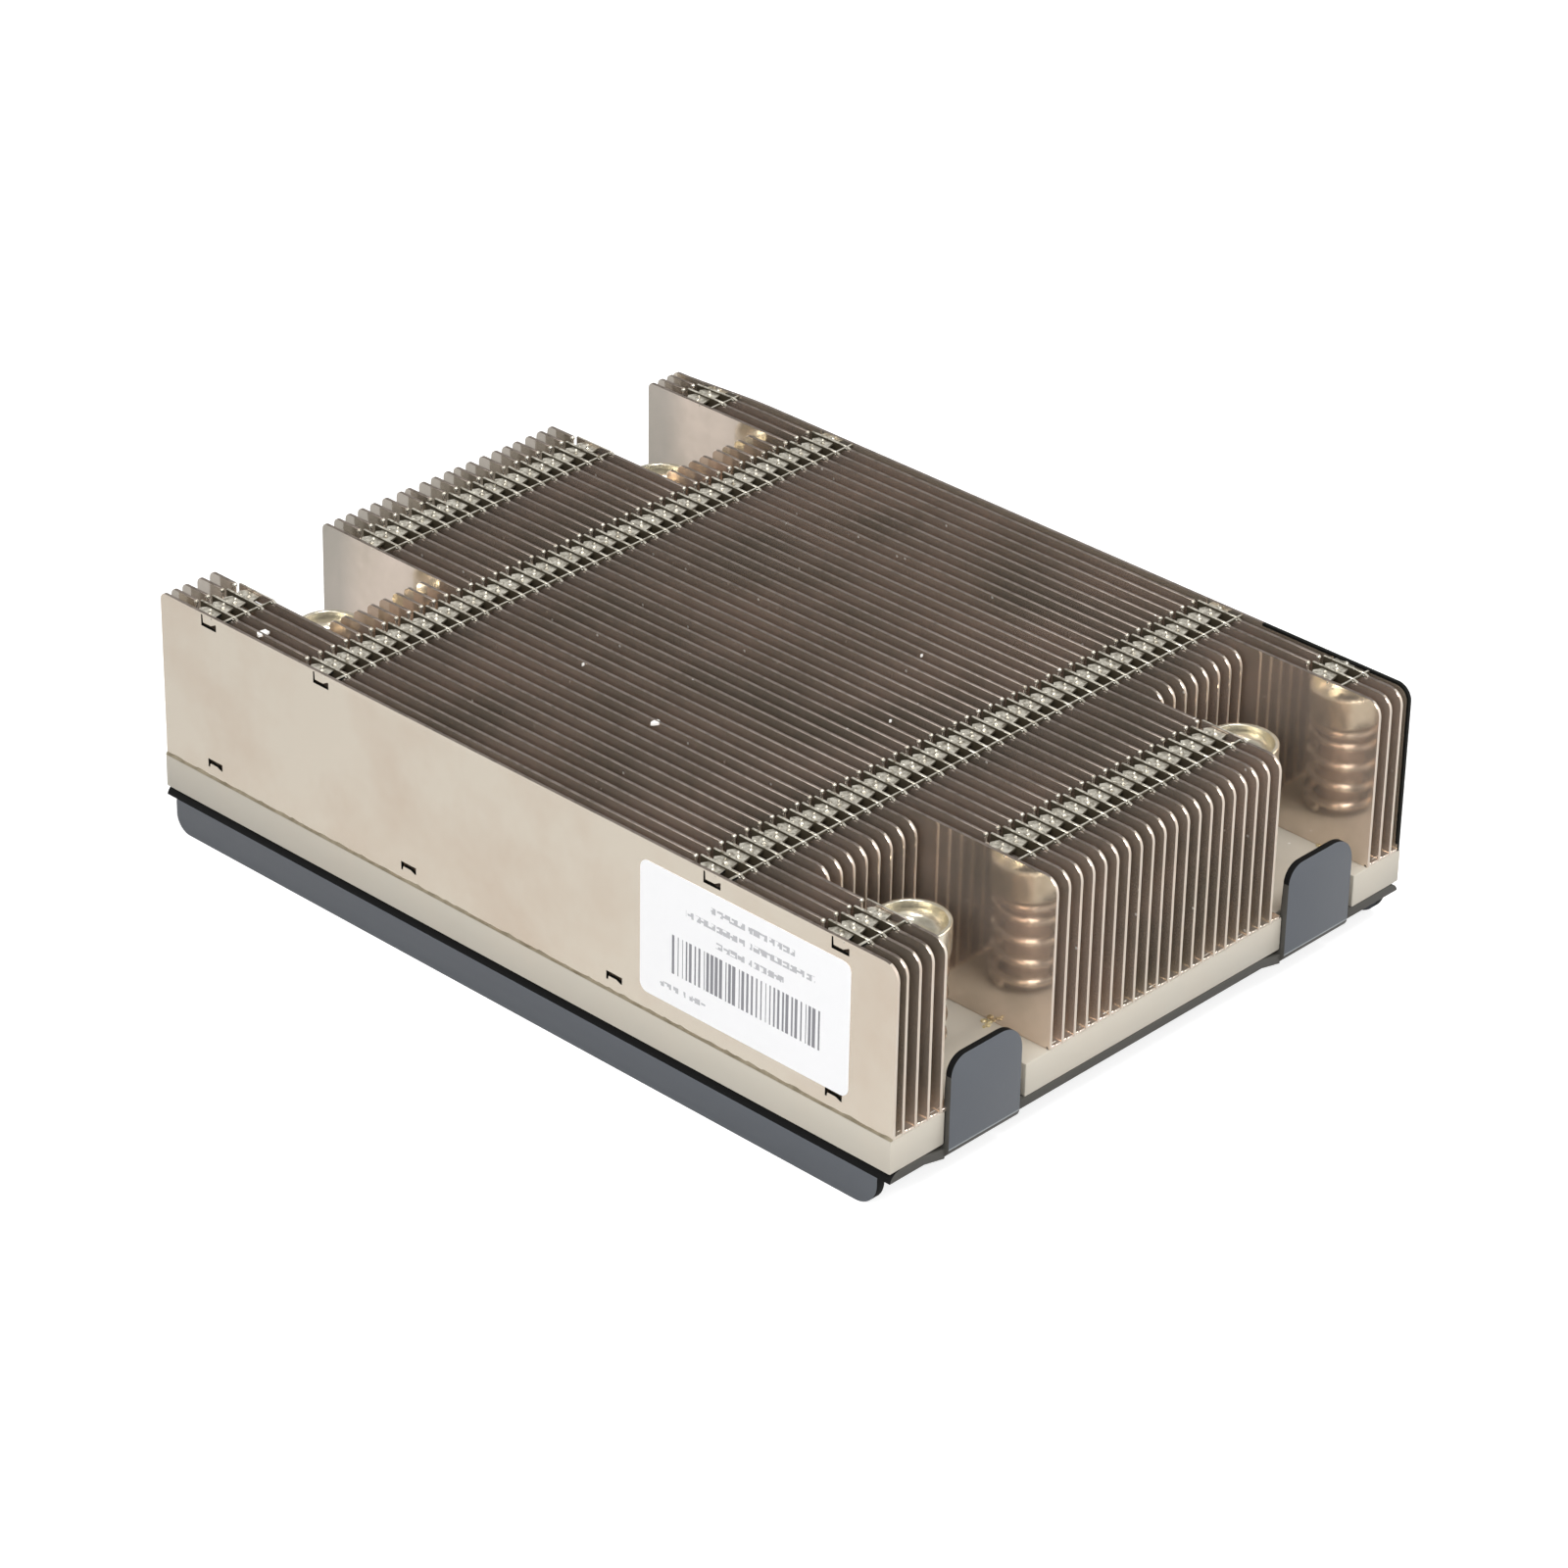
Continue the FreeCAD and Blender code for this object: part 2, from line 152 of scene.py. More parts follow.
class HeatSinkSpringSettings(PropertyGroup):
    wire: length("Wire", "Diameter of the spring wire", 1.0 * MM)
    radius: length("Coil radius", "Mean radius of the coil", 3.8 * MM)
    active_turns: FloatProperty(name="Active turns", description="Turns that can close up",
                                default=3.25, min=1.0)
    end_turns: FloatProperty(name="End turns", description="Closed turns at each end",
                             default=1.0, min=0.5)
    tint: colour("Wire colour", "Colour of the spring wire", (0.70, 0.625, 0.53))


class HeatSinkLabelSettings(PropertyGroup):
    edge: length("Edge rounding", "Rounding of the label's edge", 0.03 * MM)
    tint: colour("Paper", "Colour of the label's paper", (0.98, 0.98, 0.99))


class HeatSinkSolderSettings(PropertyGroup):
    seam: colour("Seam", "Colour of the seam beside the outer fin", (0.36, 0.31, 0.22))
    bead: colour("Bead", "Colour of the beads between the fins", (0.66, 0.62, 0.55))
    # Colour of the small gold lumps on the base plate by the screws.
    gold_spots: colour("Residue", "Colour of the residue", (0.62, 0.52, 0.30))
    seed: IntProperty(name="Seed", description="Seed of the seam's shape", default=11)


class HeatSinkStageSettings(PropertyGroup):
    lens: FloatProperty(name="Lens", description="Focal length on a 36 mm sensor",
                        default=128.06, unit="CAMERA")
    place: FloatVectorProperty(name="Camera", description="Place of the camera", size=3,
                               subtype="TRANSLATION", default=(-0.41665, -0.39179, 0.34078))
    heading: FloatProperty(name="Heading", description="Compass turn of the view from +X",
                           subtype="ANGLE", default=math.radians(43.17))
    pitch: FloatProperty(name="Pitch", description="How far the camera looks down",
                         subtype="ANGLE", default=math.radians(29.88))
    roll: FloatProperty(name="Roll", description="Turn of the picture", subtype="ANGLE",
                        default=math.radians(1.117))
    sky: FloatProperty(name="Sky", description="Strength of the white surroundings",
                       default=0.42, min=0.0)
    zenith: FloatProperty(name="Zenith", description="Strength straight above, in reflections",
                          default=0.25, min=0.0)
    floor: colour("Floor", "Colour of the floor", (0.50, 0.50, 0.50))
    glow: FloatProperty(name="Floor glow", description="White added to the floor as it is seen",
                        default=0.78, min=0.0)


# Mesh helpers


def new_object(name, mesh, material=None):
    """Object at the origin that holds the mesh."""
    obj = bpy.data.objects.new(name, mesh)
    bpy.context.scene.collection.objects.link(obj)
    if material is not None:
        mesh.materials.append(material)
    return obj


def mesh_from(bm, name):
    """Plain mesh out of a bmesh, which is freed."""
    bmesh.ops.recalc_face_normals(bm, faces=bm.faces)
    mesh = bpy.data.meshes.new(name)
    bm.to_mesh(mesh)
    bm.free()
    return mesh


def object_from(bm, name, material=None):
    """Object out of a bmesh, which is freed."""
    return new_object(name, mesh_from(bm, name), material)


def rectangle(x0, x1, y0, y1):
    """Corners of a flat rectangle."""
    return [(x0, y0), (x1, y0), (x1, y1), (x0, y1)]


def skin(bm, rings):
    """Faces over a row of rings of vertices: the two ends, then the sides."""
    faces = [bm.faces.new(rings[0]), bm.faces.new(rings[-1])]
    for a, b in zip(rings, rings[1:]):
        for i in range(len(a)):
            j = (i + 1) % len(a)
            faces.append(bm.faces.new((a[i], a[j], b[j], b[i])))
    return faces


def add_prism(bm, outline, low, high, axes=(1, 2, 0)):
    """Prism of a flat outline. axes name the outline's two axes and the extruded one."""
    rings = []
    for level in (low, high):
        ring = []
        for a, b in outline:
            co = [0.0, 0.0, 0.0]
            co[axes[0]], co[axes[1]], co[axes[2]] = a, b, level
            ring.append(bm.verts.new(co))
        rings.append(ring)
    return skin(bm, rings)


def arc(centre, radius, start, end, steps):
    """Points of a flat arc, its angles in degrees."""
    points = []
    for i in range(steps + 1):
        a = math.radians(start + (end - start) * i / steps)
        points.append((centre[0] + radius * math.cos(a), centre[1] + radius * math.sin(a)))
    return points


def turn_angles(count):
    """Evenly spaced angles of a full turn."""
    return [2 * math.pi * i / count for i in range(count)]


def bevel(obj, width, segments=2, angle=30):
    """Rounded edges, applied to the mesh."""
    modifier = obj.modifiers.new("edges", "BEVEL")
    modifier.width = width
    modifier.segments = segments
    modifier.limit_method = "ANGLE"
    modifier.angle_limit = math.radians(angle)
    apply_modifiers(obj)


def apply_modifiers(obj):
    """Replaces the mesh by its evaluated form and drops the modifiers."""
    evaluated = obj.evaluated_get(bpy.context.evaluated_depsgraph_get())
    mesh = bpy.data.meshes.new_from_object(evaluated)
    obj.modifiers.clear()
    obj.data = mesh


def carve(obj, cutter, use_self=False):
    """Cuts one object out of another and removes the cutter."""
    modifier = obj.modifiers.new("cut", "BOOLEAN")
    modifier.operation = "DIFFERENCE"
    modifier.object = cutter
    modifier.solver = "EXACT"
    modifier.use_self = use_self
    apply_modifiers(obj)
    bpy.data.objects.remove(cutter)


def shade(obj, angle=35):
    """Smooth shading that keeps sharp edges sharp."""
    mesh = obj.data
    for polygon in mesh.polygons:
        polygon.use_smooth = True
    bm = bmesh.new()
    bm.from_mesh(mesh)
    for edge in bm.edges:
        edge.smooth = edge.calc_face_angle(math.pi) < math.radians(angle)
    bm.to_mesh(mesh)
    bm.free()


def cad_copy(node, name, material):
    """Clean copy of a CAD node's mesh, with its flat faces whole again."""
    bm = bmesh.new()
    bm.from_mesh(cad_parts[node].data)
    bmesh.ops.remove_doubles(bm, verts=bm.verts, dist=0.002 * MM)
    bmesh.ops.dissolve_limit(bm, angle_limit=math.radians(0.5), verts=bm.verts, edges=bm.edges)
    return object_from(bm, name, material)


def settle(obj, body, slot, *nodes):
    """Gives a finished piece its body and hides the CAD nodes it stands for. slot is not used.
    """
    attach(obj, body)
    if nodes:
        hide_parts(*nodes)


# Shader helpers


def new_material(name):
    """Material with a Principled shader, and its node tree's parts."""
    material = bpy.data.materials.new(name)
    material.use_nodes = True
    tree = material.node_tree
    return material, tree, tree.nodes["Principled BSDF"]


def add_node(tree, kind, feeds=None, **values):
    """Node with its properties set and its inputs fed."""
    node = tree.nodes.new(kind)
    for key, value in values.items():
        setattr(node, key, value)
    feed(tree, node, feeds or {})
    return node


def feed(tree, node, feeds):
    """Gives a node's inputs, by name or number, another node's socket or a constant."""
    for key, value in feeds.items():
        if isinstance(value, bpy.types.NodeSocket):
            tree.links.new(value, node.inputs[key])
        else:
            node.inputs[key].default_value = value


def calc(tree, operation, *feeds, use_clamp=False):
    """Result of a sum on sockets and constants."""
    node = add_node(tree, "ShaderNodeMath", dict(enumerate(feeds)), operation=operation,
                    use_clamp=use_clamp)
    return node.outputs["Value"]


def blend(tree, share, a, b, kind="RGBA"):
    """Mix of two colours or, for the kind FLOAT, two numbers."""
    node = add_node(tree, "ShaderNodeMix", {"Factor": share, "A": a, "B": b}, data_type=kind)
    return node.outputs["Result"]


def bump(tree, feeds):
    """Normal that follows a height."""
    return add_node(tree, "ShaderNodeBump", feeds).outputs["Normal"]


def object_coordinates(tree):
    """Object coordinates, which move with the piece."""
    return add_node(tree, "ShaderNodeTexCoord").outputs["Object"]


def new_group(name, inputs, outputs):
    """Shader node group with its sockets, each a name, a type and, going in, a default."""
    group = bpy.data.node_groups.new(name, "ShaderNodeTree")
    for label, kind, default in inputs:
        socket = group.interface.new_socket(label, in_out="INPUT",
                                            socket_type="NodeSocket" + kind)
        if default is not None:
            socket.default_value = default
    for label, kind in outputs:
        group.interface.new_socket(label, in_out="OUTPUT", socket_type="NodeSocket" + kind)
    entry = add_node(group, "NodeGroupInput")
    leave = add_node(group, "NodeGroupOutput")
    return group, entry.outputs, leave


def metal_finish_group():
    """Cloudy stains and fine rolling lines for plated sheet.

    It puts out a colour, a roughness and a height.
    """
    name = "Plated Finish"
    if name in bpy.data.node_groups:
        return bpy.data.node_groups[name]
    group, entry, leave = new_group(
        name,
        [("Vector", "Vector", None), ("Colour", "Color", (0.7, 0.7, 0.7, 1)),
         ("Stain", "Color", (0.5, 0.4, 0.3, 1)), ("Stain Amount", "Float", 0.3),
         ("Roughness", "Float", 0.25), ("Roughness Spread", "Float", 0.08),
         ("Line Scale", "Float", 900.0), ("Cloud Scale", "Float", 60.0)],
        [("Colour", "Color"), ("Roughness", "Float"), ("Height", "Float")])
    cloud = add_node(group, "ShaderNodeTexNoise",
                     {"Vector": entry["Vector"], "Scale": entry["Cloud Scale"],
                      "Detail": 5.0, "Roughness": 0.6}).outputs["Fac"]
    stained = add_node(group, "ShaderNodeMapRange",
                       {"Value": cloud, "From Min": 0.42, "From Max": 0.72}).outputs["Result"]
    amount = calc(group, "MULTIPLY", stained, entry["Stain Amount"])
    along = add_node(group, "ShaderNodeVectorMath", {0: entry["Vector"], 1: (1.0, 0.03, 1.0)},
                     operation="MULTIPLY").outputs["Vector"]
    lines = add_node(group, "ShaderNodeTexNoise",
                     {"Vector": along, "Scale": entry["Line Scale"],
                      "Detail": 2.0}).outputs["Fac"]
    centred = calc(group, "SUBTRACT", calc(group, "ADD", lines, cloud), 1.0)
    rough = calc(group, "MULTIPLY_ADD", centred, entry["Roughness Spread"],
                 entry["Roughness"], use_clamp=True)
    tone = blend(group, amount, entry["Colour"], entry["Stain"])
    feed(group, leave, {"Colour": tone, "Roughness": rough, "Height": lines})
    return group


def dust_group():
    """Pale specks of dust: it puts out a colour and a roughness."""
    name = "Dust Specks"
    if name in bpy.data.node_groups:
        return bpy.data.node_groups[name]
    group, entry, leave = new_group(
        name,
        [("Vector", "Vector", None), ("Colour", "Color", (0.5, 0.5, 0.5, 1)),
         ("Roughness", "Float", 0.3), ("Dust", "Color", (0.75, 0.72, 0.68, 1)),
         ("Scale", "Float", 700.0), ("Size", "Float", 0.12), ("Share", "Float", 0.3)],
        [("Colour", "Color"), ("Roughness", "Float")])
    cells = add_node(group, "ShaderNodeTexVoronoi",
                     {"Vector": entry["Vector"], "Scale": entry["Scale"]}).outputs
    picked = add_node(group, "ShaderNodeSeparateColor", {"Color": cells["Color"]}).outputs
    speck = calc(group, "MULTIPLY",
                 calc(group, "LESS_THAN", cells["Distance"], entry["Size"]),
                 calc(group, "LESS_THAN", picked["Red"], entry["Share"]))
    rough = calc(group, "MAXIMUM", entry["Roughness"], calc(group, "MULTIPLY", speck, 0.6))
    tone = blend(group, speck, entry["Colour"], entry["Dust"])
    feed(group, leave, {"Colour": tone, "Roughness": rough})
    return group


def printed_row_group():
    """Mask of a row of bars or dashes on the YZ plane, placed by a fixed chance."""
    name = "Printed Row"
    if name in bpy.data.node_groups:
        return bpy.data.node_groups[name]
    defaults = {"Low": 0.0, "High": 0.01, "From": 0.0, "To": 0.01, "Cells": 2000.0,
                "Lines": 0.0, "Share": 0.5}
    group, entry, leave = new_group(
        name, [("Vector", "Vector", None)] + [(k, "Float", v) for k, v in defaults.items()],
        [("Mask", "Float")])
    parts = add_node(group, "ShaderNodeSeparateXYZ", {"Vector": entry["Vector"]}).outputs
    y, z = parts["Y"], parts["Z"]
    inked = calc(group, "GREATER_THAN", z, entry["Low"])
    for test, value, bound in (("LESS_THAN", z, "High"), ("GREATER_THAN", y, "From"),
                               ("LESS_THAN", y, "To")):
        inked = calc(group, "MULTIPLY", inked, calc(group, test, value, entry[bound]))
    column = calc(group, "MULTIPLY", y, entry["Cells"])
    line = calc(group, "MULTIPLY", z, entry["Lines"])
    cell = add_node(group, "ShaderNodeCombineXYZ", {"X": calc(group, "FLOOR", column),
                                                    "Y": calc(group, "FLOOR", line)})
    chance = add_node(group, "ShaderNodeTexWhiteNoise", {"Vector": cell.outputs["Vector"]},
                      noise_dimensions="2D").outputs["Value"]
    width = calc(group, "MULTIPLY_ADD", chance, entry["Share"], 0.15)
    bar = calc(group, "LESS_THAN", calc(group, "FRACT", column), width)
    feed(group, leave, {"Mask": calc(group, "MULTIPLY", inked, bar)})
    return group


BROWN = (0.60, 0.46, 0.35)

# Greying of the fins' rear ends: its colour, and where it starts and is full
REAR_GREY = (0.36, 0.355, 0.32, 1.0)
REAR_GREY_START = REAR - 7.0 * MM
REAR_GREY_FULL = REAR - 3.0 * MM

# Plated metals: the stain and its share, roughness and its spread, the height of the rolling
# lines in millimetres, the scale of the clouds and how metallic it is
METALS = {
    "fin_plating": ((0.40, 0.37, 0.29), 0.65, 0.10, 0.04, 0.003, 60.0, 0.82),
    "outer_fin_plating": (BROWN, 0.45, 0.10, 0.05, 0.01, 60.0, 0.80),
    # The rims' entry paints shade on the fins' top edges.
    "fin_rim": ((0.10, 0.08, 0.06), 0.60, 0.50, 0.15, 0.01, 900.0, 1.0),
    "fin_end": (BROWN, 0.40, 0.58, 0.10, 0.01, 300.0, 1.0),
    "fin_worked": ((0.16, 0.13, 0.08), 1.0, 0.30, 0.15, 0.05, 1500.0, 0.75),
    "fin_shade": ((0.05, 0.04, 0.025), 0.50, 0.70, 0.10, 0.01, 700.0, 0.0),
    "base_plating": ((0.60, 0.53, 0.44), 0.35, 0.42, 0.10, 0.03, 120.0, 0.25),
    "solder_seam": ((0.10, 0.08, 0.04), 0.60, 0.45, 0.15, 0.02, 500.0, 0.50),
    "solder_bead": ((0.46, 0.40, 0.32), 0.50, 0.55, 0.15, 0.03, 700.0, 0.20),
    "gold_spots": ((0.25, 0.20, 0.10), 0.60, 0.30, 0.15, 0.03, 900.0, 0.40),
    "screw_plating": ((0.36, 0.32, 0.20), 0.50, 0.24, 0.10, 0.02, 450.0, 0.85),
    "shank_finish": ((0.30, 0.22, 0.18), 0.40, 0.42, 0.10, 0.01, 300.0, 0.40),
    "socket_shade": ((0.05, 0.04, 0.03), 0.60, 0.50, 0.10, 0.01, 600.0, 0.50),
    "ring_steel_finish": ((0.20, 0.17, 0.14), 0.40, 0.35, 0.10, 0.01, 200.0, 1.0),
    "spring_wire": ((0.58, 0.30, 0.22), 0.25, 0.11, 0.05, 0.005, 170.0, 0.85),
}


def plated_metal(name, tint, dust=0.0, warp=0.0, rear_grey=0.0):
    """Plated metal with stains, rolling lines and, where asked, dust and a slight warp.

    The rear greying blends the metal toward a darker grey at the rear end of the stack.
    """
    stain, amount, roughness, spread, lines, clouds, metallic = METALS[name]
    if name in bpy.data.materials:
        return bpy.data.materials[name]
    material, tree, shader = new_material(name)
    vector = object_coordinates(tree)
    finish = add_node(tree, "ShaderNodeGroup", node_tree=metal_finish_group())
    feed(tree, finish, {"Vector": vector, "Colour": (*tint, 1.0), "Stain": (*stain, 1.0),
                        "Stain Amount": amount, "Roughness": roughness,
                        "Roughness Spread": spread, "Cloud Scale": clouds})
    relief = {"Height": finish.outputs["Height"], "Strength": 0.25, "Distance": lines * MM}
    if warp > 0.0:
        swell = add_node(tree, "ShaderNodeTexNoise",
                         {"Vector": vector, "Scale": 28.0, "Detail": 0.5})
        relief["Normal"] = bump(tree, {"Height": swell.outputs["Fac"], "Distance": warp})
    if dust > 0.0:
        finish = add_node(tree, "ShaderNodeGroup", {
            "Vector": vector, "Colour": finish.outputs["Colour"],
            "Roughness": finish.outputs["Roughness"], "Share": dust}, node_tree=dust_group())
    tone = finish.outputs["Colour"]
    if rear_grey > 0.0:
        parts = add_node(tree, "ShaderNodeSeparateXYZ", {"Vector": vector}).outputs
        share = add_node(tree, "ShaderNodeMapRange",
                         {"Value": parts["Y"], "From Min": REAR_GREY_START,
                          "From Max": REAR_GREY_FULL, "To Max": rear_grey}).outputs["Result"]
        tone = blend(tree, share, tone, REAR_GREY)
    feed(tree, shader, {"Base Color": tone, "Roughness": finish.outputs["Roughness"],
                        "Metallic": metallic, "Normal": bump(tree, relief)})
    return material


def painted_steel(name, tint, roughness, dust, gloss=0.5):
    """Paint with a faint orange peel and dust."""
    if name in bpy.data.materials:
        return bpy.data.materials[name]
    material, tree, shader = new_material(name)
    vector = object_coordinates(tree)
    specks = add_node(tree, "ShaderNodeGroup", node_tree=dust_group())
    feed(tree, specks, {"Vector": vector, "Colour": (*tint, 1.0), "Roughness": roughness,
                        "Dust": (0.35, 0.36, 0.37, 1.0), "Scale": 420.0, "Size": 0.09,
                        "Share": dust})
    peel = add_node(tree, "ShaderNodeTexNoise",
                    {"Vector": vector, "Scale": 1400.0, "Detail": 3.0}).outputs["Fac"]
    normal = bump(tree, {"Height": peel, "Strength": 0.12, "Distance": 0.05 * MM})
    feed(tree, shader, {"Base Color": specks.outputs["Colour"], "Normal": normal,
                        "Roughness": specks.outputs["Roughness"],
                        "Specular IOR Level": gloss})
    return material


# Fins


# The SHADED slot is painted shade, near black, on the band walls and the outer fins' slits; on
# the last fin it also colours the dark front edge.
FACES, RIM_SHADE, ENDS, WORKED, SHADED = range(5)

# Places along a band, from its middle toward the rear
CUT_FRONT = -4.2 * MM
FOLD = -3.35 * MM
SLOPE_TOP = -3.1 * MM
SLOPE_FOOT = -1.6 * MM
WALL_END = 2.7 * MM
BEHIND = 3.05 * MM
BAND_REACH = 4.5 * MM

# Depth of the step in front of a band's wall, and thickness of its strips
STEP = 0.3 * MM

# Beads on a tongue: share of its width, then place, depth and radius in millimetres
TONGUE_BEADS = ((0.42, -0.15, 0.36, 0.35), (0.8, 0.45, 0.34, 0.24), (0.2, 0.85, 0.38, 0.26))

# Stretch of the last fin's near black edge, and of the fins' bent rear ends
DARK_SPAN = 22 * MM
LONG_BEND = 16.0 * MM
SHORT_BEND = 6.0 * MM

# Slits in the outer fins, in millimetres: width, line, tall leg and short leg. The lower ones
# start this far from the fins' ends.
UPPER_SLIT = (2.6, 0.5, 1.5, 0.9)
LOWER_SLIT = (2.5, 0.6, 1.1, 0.9)
SLIT_INSET = 8.8 * MM


def fin_outline(y0, y1, radius, rear, notches):
    """Side outline of a fin: rounded top corners and a notch for each band's jog."""
    top = FIN_TOP
    points = [(y0, FIN_FLOOR), (y1, FIN_FLOOR)]
    points += arc((y1 - rear, top - rear), rear, 0, 90, 5)
    for y, depth in sorted(notches, reverse=True):
        for place, drop in ((BEHIND, 0.0), (BEHIND, depth), (SLOPE_FOOT, depth),
                            (SLOPE_TOP, STEP), (CUT_FRONT, STEP), (CUT_FRONT, 0.0)):
            points.append((y + place, top - drop))
    points += arc((y0 + radius, top - radius), radius, 90, 180, 8)
    return points


def band_places():
    """Centre of each band of strips, as the CAD fins have them."""
    return [FRONT + 9.3 * MM, FRONT + 28.4 * MM, REAR - 27.05 * MM, REAR - 7.55 * MM]


def paint(faces, finish):
    """Gives new faces a finish, by its material slot."""
    for face in faces:
        face.material_index = finish


def add_sheet(bm, outline):
    """The fin's sheet, its faces and its cut edges apart, its flat top edges in the rims'
    painted shade.
    """
    half = SHEET / 2
    faces = add_prism(bm, outline, -half, half)
    paint(faces[:2], FACES)
    for face in faces[2:]:
        face.normal_update()
        flat = abs(face.normal.z) > 0.9 and face.calc_center_median().z > FIN_TOP - 0.1 * MM
        face.material_index = RIM_SHADE if flat else ENDS


def add_plan(bm, plan, low, high, top=WORKED, sides=SHADED):
    """Upright prism over a plan, its top in one finish and its walls in another, by default the
    painted shade.
    """
    faces = add_prism(bm, plan, low, high, axes=(0, 1, 2))
    paint(faces, sides)
    paint(faces[1:2], top)


def add_bead(bm, place, radius):
    """Small round bead, bright like a burnished edge."""
    matrix = Matrix.Translation(place)
    made = bmesh.ops.create_icosphere(bm, subdivisions=2, radius=radius, matrix=matrix)
    for vert in made["verts"]:
        paint(vert.link_faces, WORKED)


def add_wall(bm, y, settings, finish):
    """Side step of the fin's top edge inside a band, with a wall under it."""
    top = FIN_TOP
    half = SHEET / 2
    near, far = settings.jog - half, settings.jog + half * 0.6
    slant = [(-half, y + CUT_FRONT), (near, y + FOLD), (far, y + FOLD), (half, y + CUT_FRONT)]
    add_plan(bm, slant, top - STEP, top, sides=FACES)
    side = [(y + place, top - drop) for place, drop in
            ((FOLD, 0.0), (FOLD, STEP), (SLOPE_TOP, STEP), (SLOPE_FOOT, settings.wall),
             (WALL_END, settings.wall), (WALL_END, 0.0))]
    faces = add_prism(bm, side, near, far)
    # The wall's sides take the painted shade, or the plain faces in a bare band.
    paint(faces, finish)
    paint(faces[-1:], WORKED)


def add_band(bm, y, reach, settings, outer, bare):
    """One band on a fin whose mid plane is x = 0.

    The outer fins keep their edge straight, and a bare band has nothing over the gap.

    From the front: a thin strip across to the next fin, a window, a folded tongue over the gap
    with burnished beads on it, a second window, and the cut end of the straight edge behind.
    """
    top = FIN_TOP
    half = SHEET / 2

    def mm(t):
        return y + t * MM

    if not outer:
        add_wall(bm, y, settings, FACES if bare else SHADED)
        add_plan(bm, rectangle(-half, 0.0, mm(-3.75), mm(-3.4)), top - STEP, top - 0.02 * MM)
        add_bead(bm, (0.0, mm(3.15), top - STEP), 0.3 * MM)
    if bare:
        return
    next_wall = reach + SHEET + settings.jog - half
    x0 = 0.0 if outer else settings.jog + half * 0.5
    gap = next_wall - x0
    strip_top = top - settings.strip_drop
    add_plan(bm, rectangle(x0, next_wall, mm(-3.38), mm(-3.02)), strip_top - STEP, strip_top)
    add_bead(bm, (x0, mm(-1.5), top - 0.25 * MM), 0.25 * MM)
    tongue = [(x0, mm(-1.5)), (next_wall, mm(-1.15)), (next_wall, mm(1.3)),
              (x0 + 0.5 * gap, mm(1.75)), (x0, mm(1.1))]
    add_plan(bm, tongue, top - 2 * STEP, top - STEP)
    for share, t, drop, radius in TONGUE_BEADS:
        add_bead(bm, (x0 + share * gap, mm(t), top - drop * MM), radius * MM)


def add_lip(bm, y0, radius, width, span):
    """Dark lip round the front corner of the last fin, on the side of the other fins."""
    top = FIN_TOP
    half = SHEET / 2
    foot = FIN_FLOOR + MM
    corner = (y0 + radius, top - radius)
    outline = [(y0 + span, top)] + arc(corner, radius, 90, 180, 8)
    outline += [(y0, foot), (y0 + width, foot)]
    outline += arc(corner, radius - width, 180, 90, 8) + [(y0 + span, top - width)]
    paint(add_prism(bm, outline, -half - 0.05 * MM, -half + 0.01 * MM), SHADED)


def add_foot(bm, y0, y1, reach):
    """Foot flange that stands on the base plate."""
    half = SHEET / 2
    add_prism(bm, rectangle(y0, y1, FIN_FLOOR, FIN_FLOOR + SHEET), half - 0.02 * MM,
              half + reach)


def fin_mesh(name, number, settings, kind="inner"):
    """Numbered fin about the plane x = 0, with its bands and its foot.

    An outer fin keeps its top edge straight in every band, and the first fin of a block does
    in its end bands. The last fin of a block has no strips in its end bands, and the last fin
    of all has no bands and no foot.
    """
    low, high = FINS[number - 1]
    reach = FINS[number][0].x - low.x - SHEET if number < FIN_COUNT else 0.0
    bm = bmesh.new()
    inside = (low.y + BAND_REACH, high.y - BAND_REACH)
    bands = [y for y in band_places() if reach > 0 and inside[0] < y < inside[1]]
    ends = (bands[0], bands[-1]) if bands else ()
    straight = {"outer": bands, "first": ends}.get(kind, ())
    notches = [(y, settings.wall) for y in bands if y not in straight]
    add_sheet(bm, fin_outline(low.y, high.y, settings.corner, settings.rear, notches))
    for y in bands:
        add_band(bm, y, reach, settings, y in straight, kind == "last" and y in ends)
    if reach > 0:
        add_foot(bm, low.y, high.y, reach)
    else:
        add_lip(bm, low.y, settings.corner, 0.32 * MM, DARK_SPAN)
    mesh = mesh_from(bm, name)
    for material in fin_materials(settings, kind):
        mesh.materials.append(material)
    return mesh


def finish_fin(obj, edge):
    """Rounds a fin's cut edges and marks each face with its finish; slanted faces along the top
    take the rims' painted shade.
    """
    if edge > 0.0:
        bevel(obj, edge, segments=1, angle=40)
    shade(obj, 40)
    marks = obj.data.attributes.new("finish", "INT", "FACE")
    for i, polygon in enumerate(obj.data.polygons):
        slanted = 0.3 < polygon.normal.z and abs(polygon.normal.x) > 0.3
        if slanted and polygon.center.z > FIN_TOP - 0.1 * MM:
            if polygon.material_index == FACES:
                polygon.material_index = RIM_SHADE
            elif polygon.material_index == SHADED:
                polygon.material_index = WORKED
        marks.data[i].value = polygon.material_index


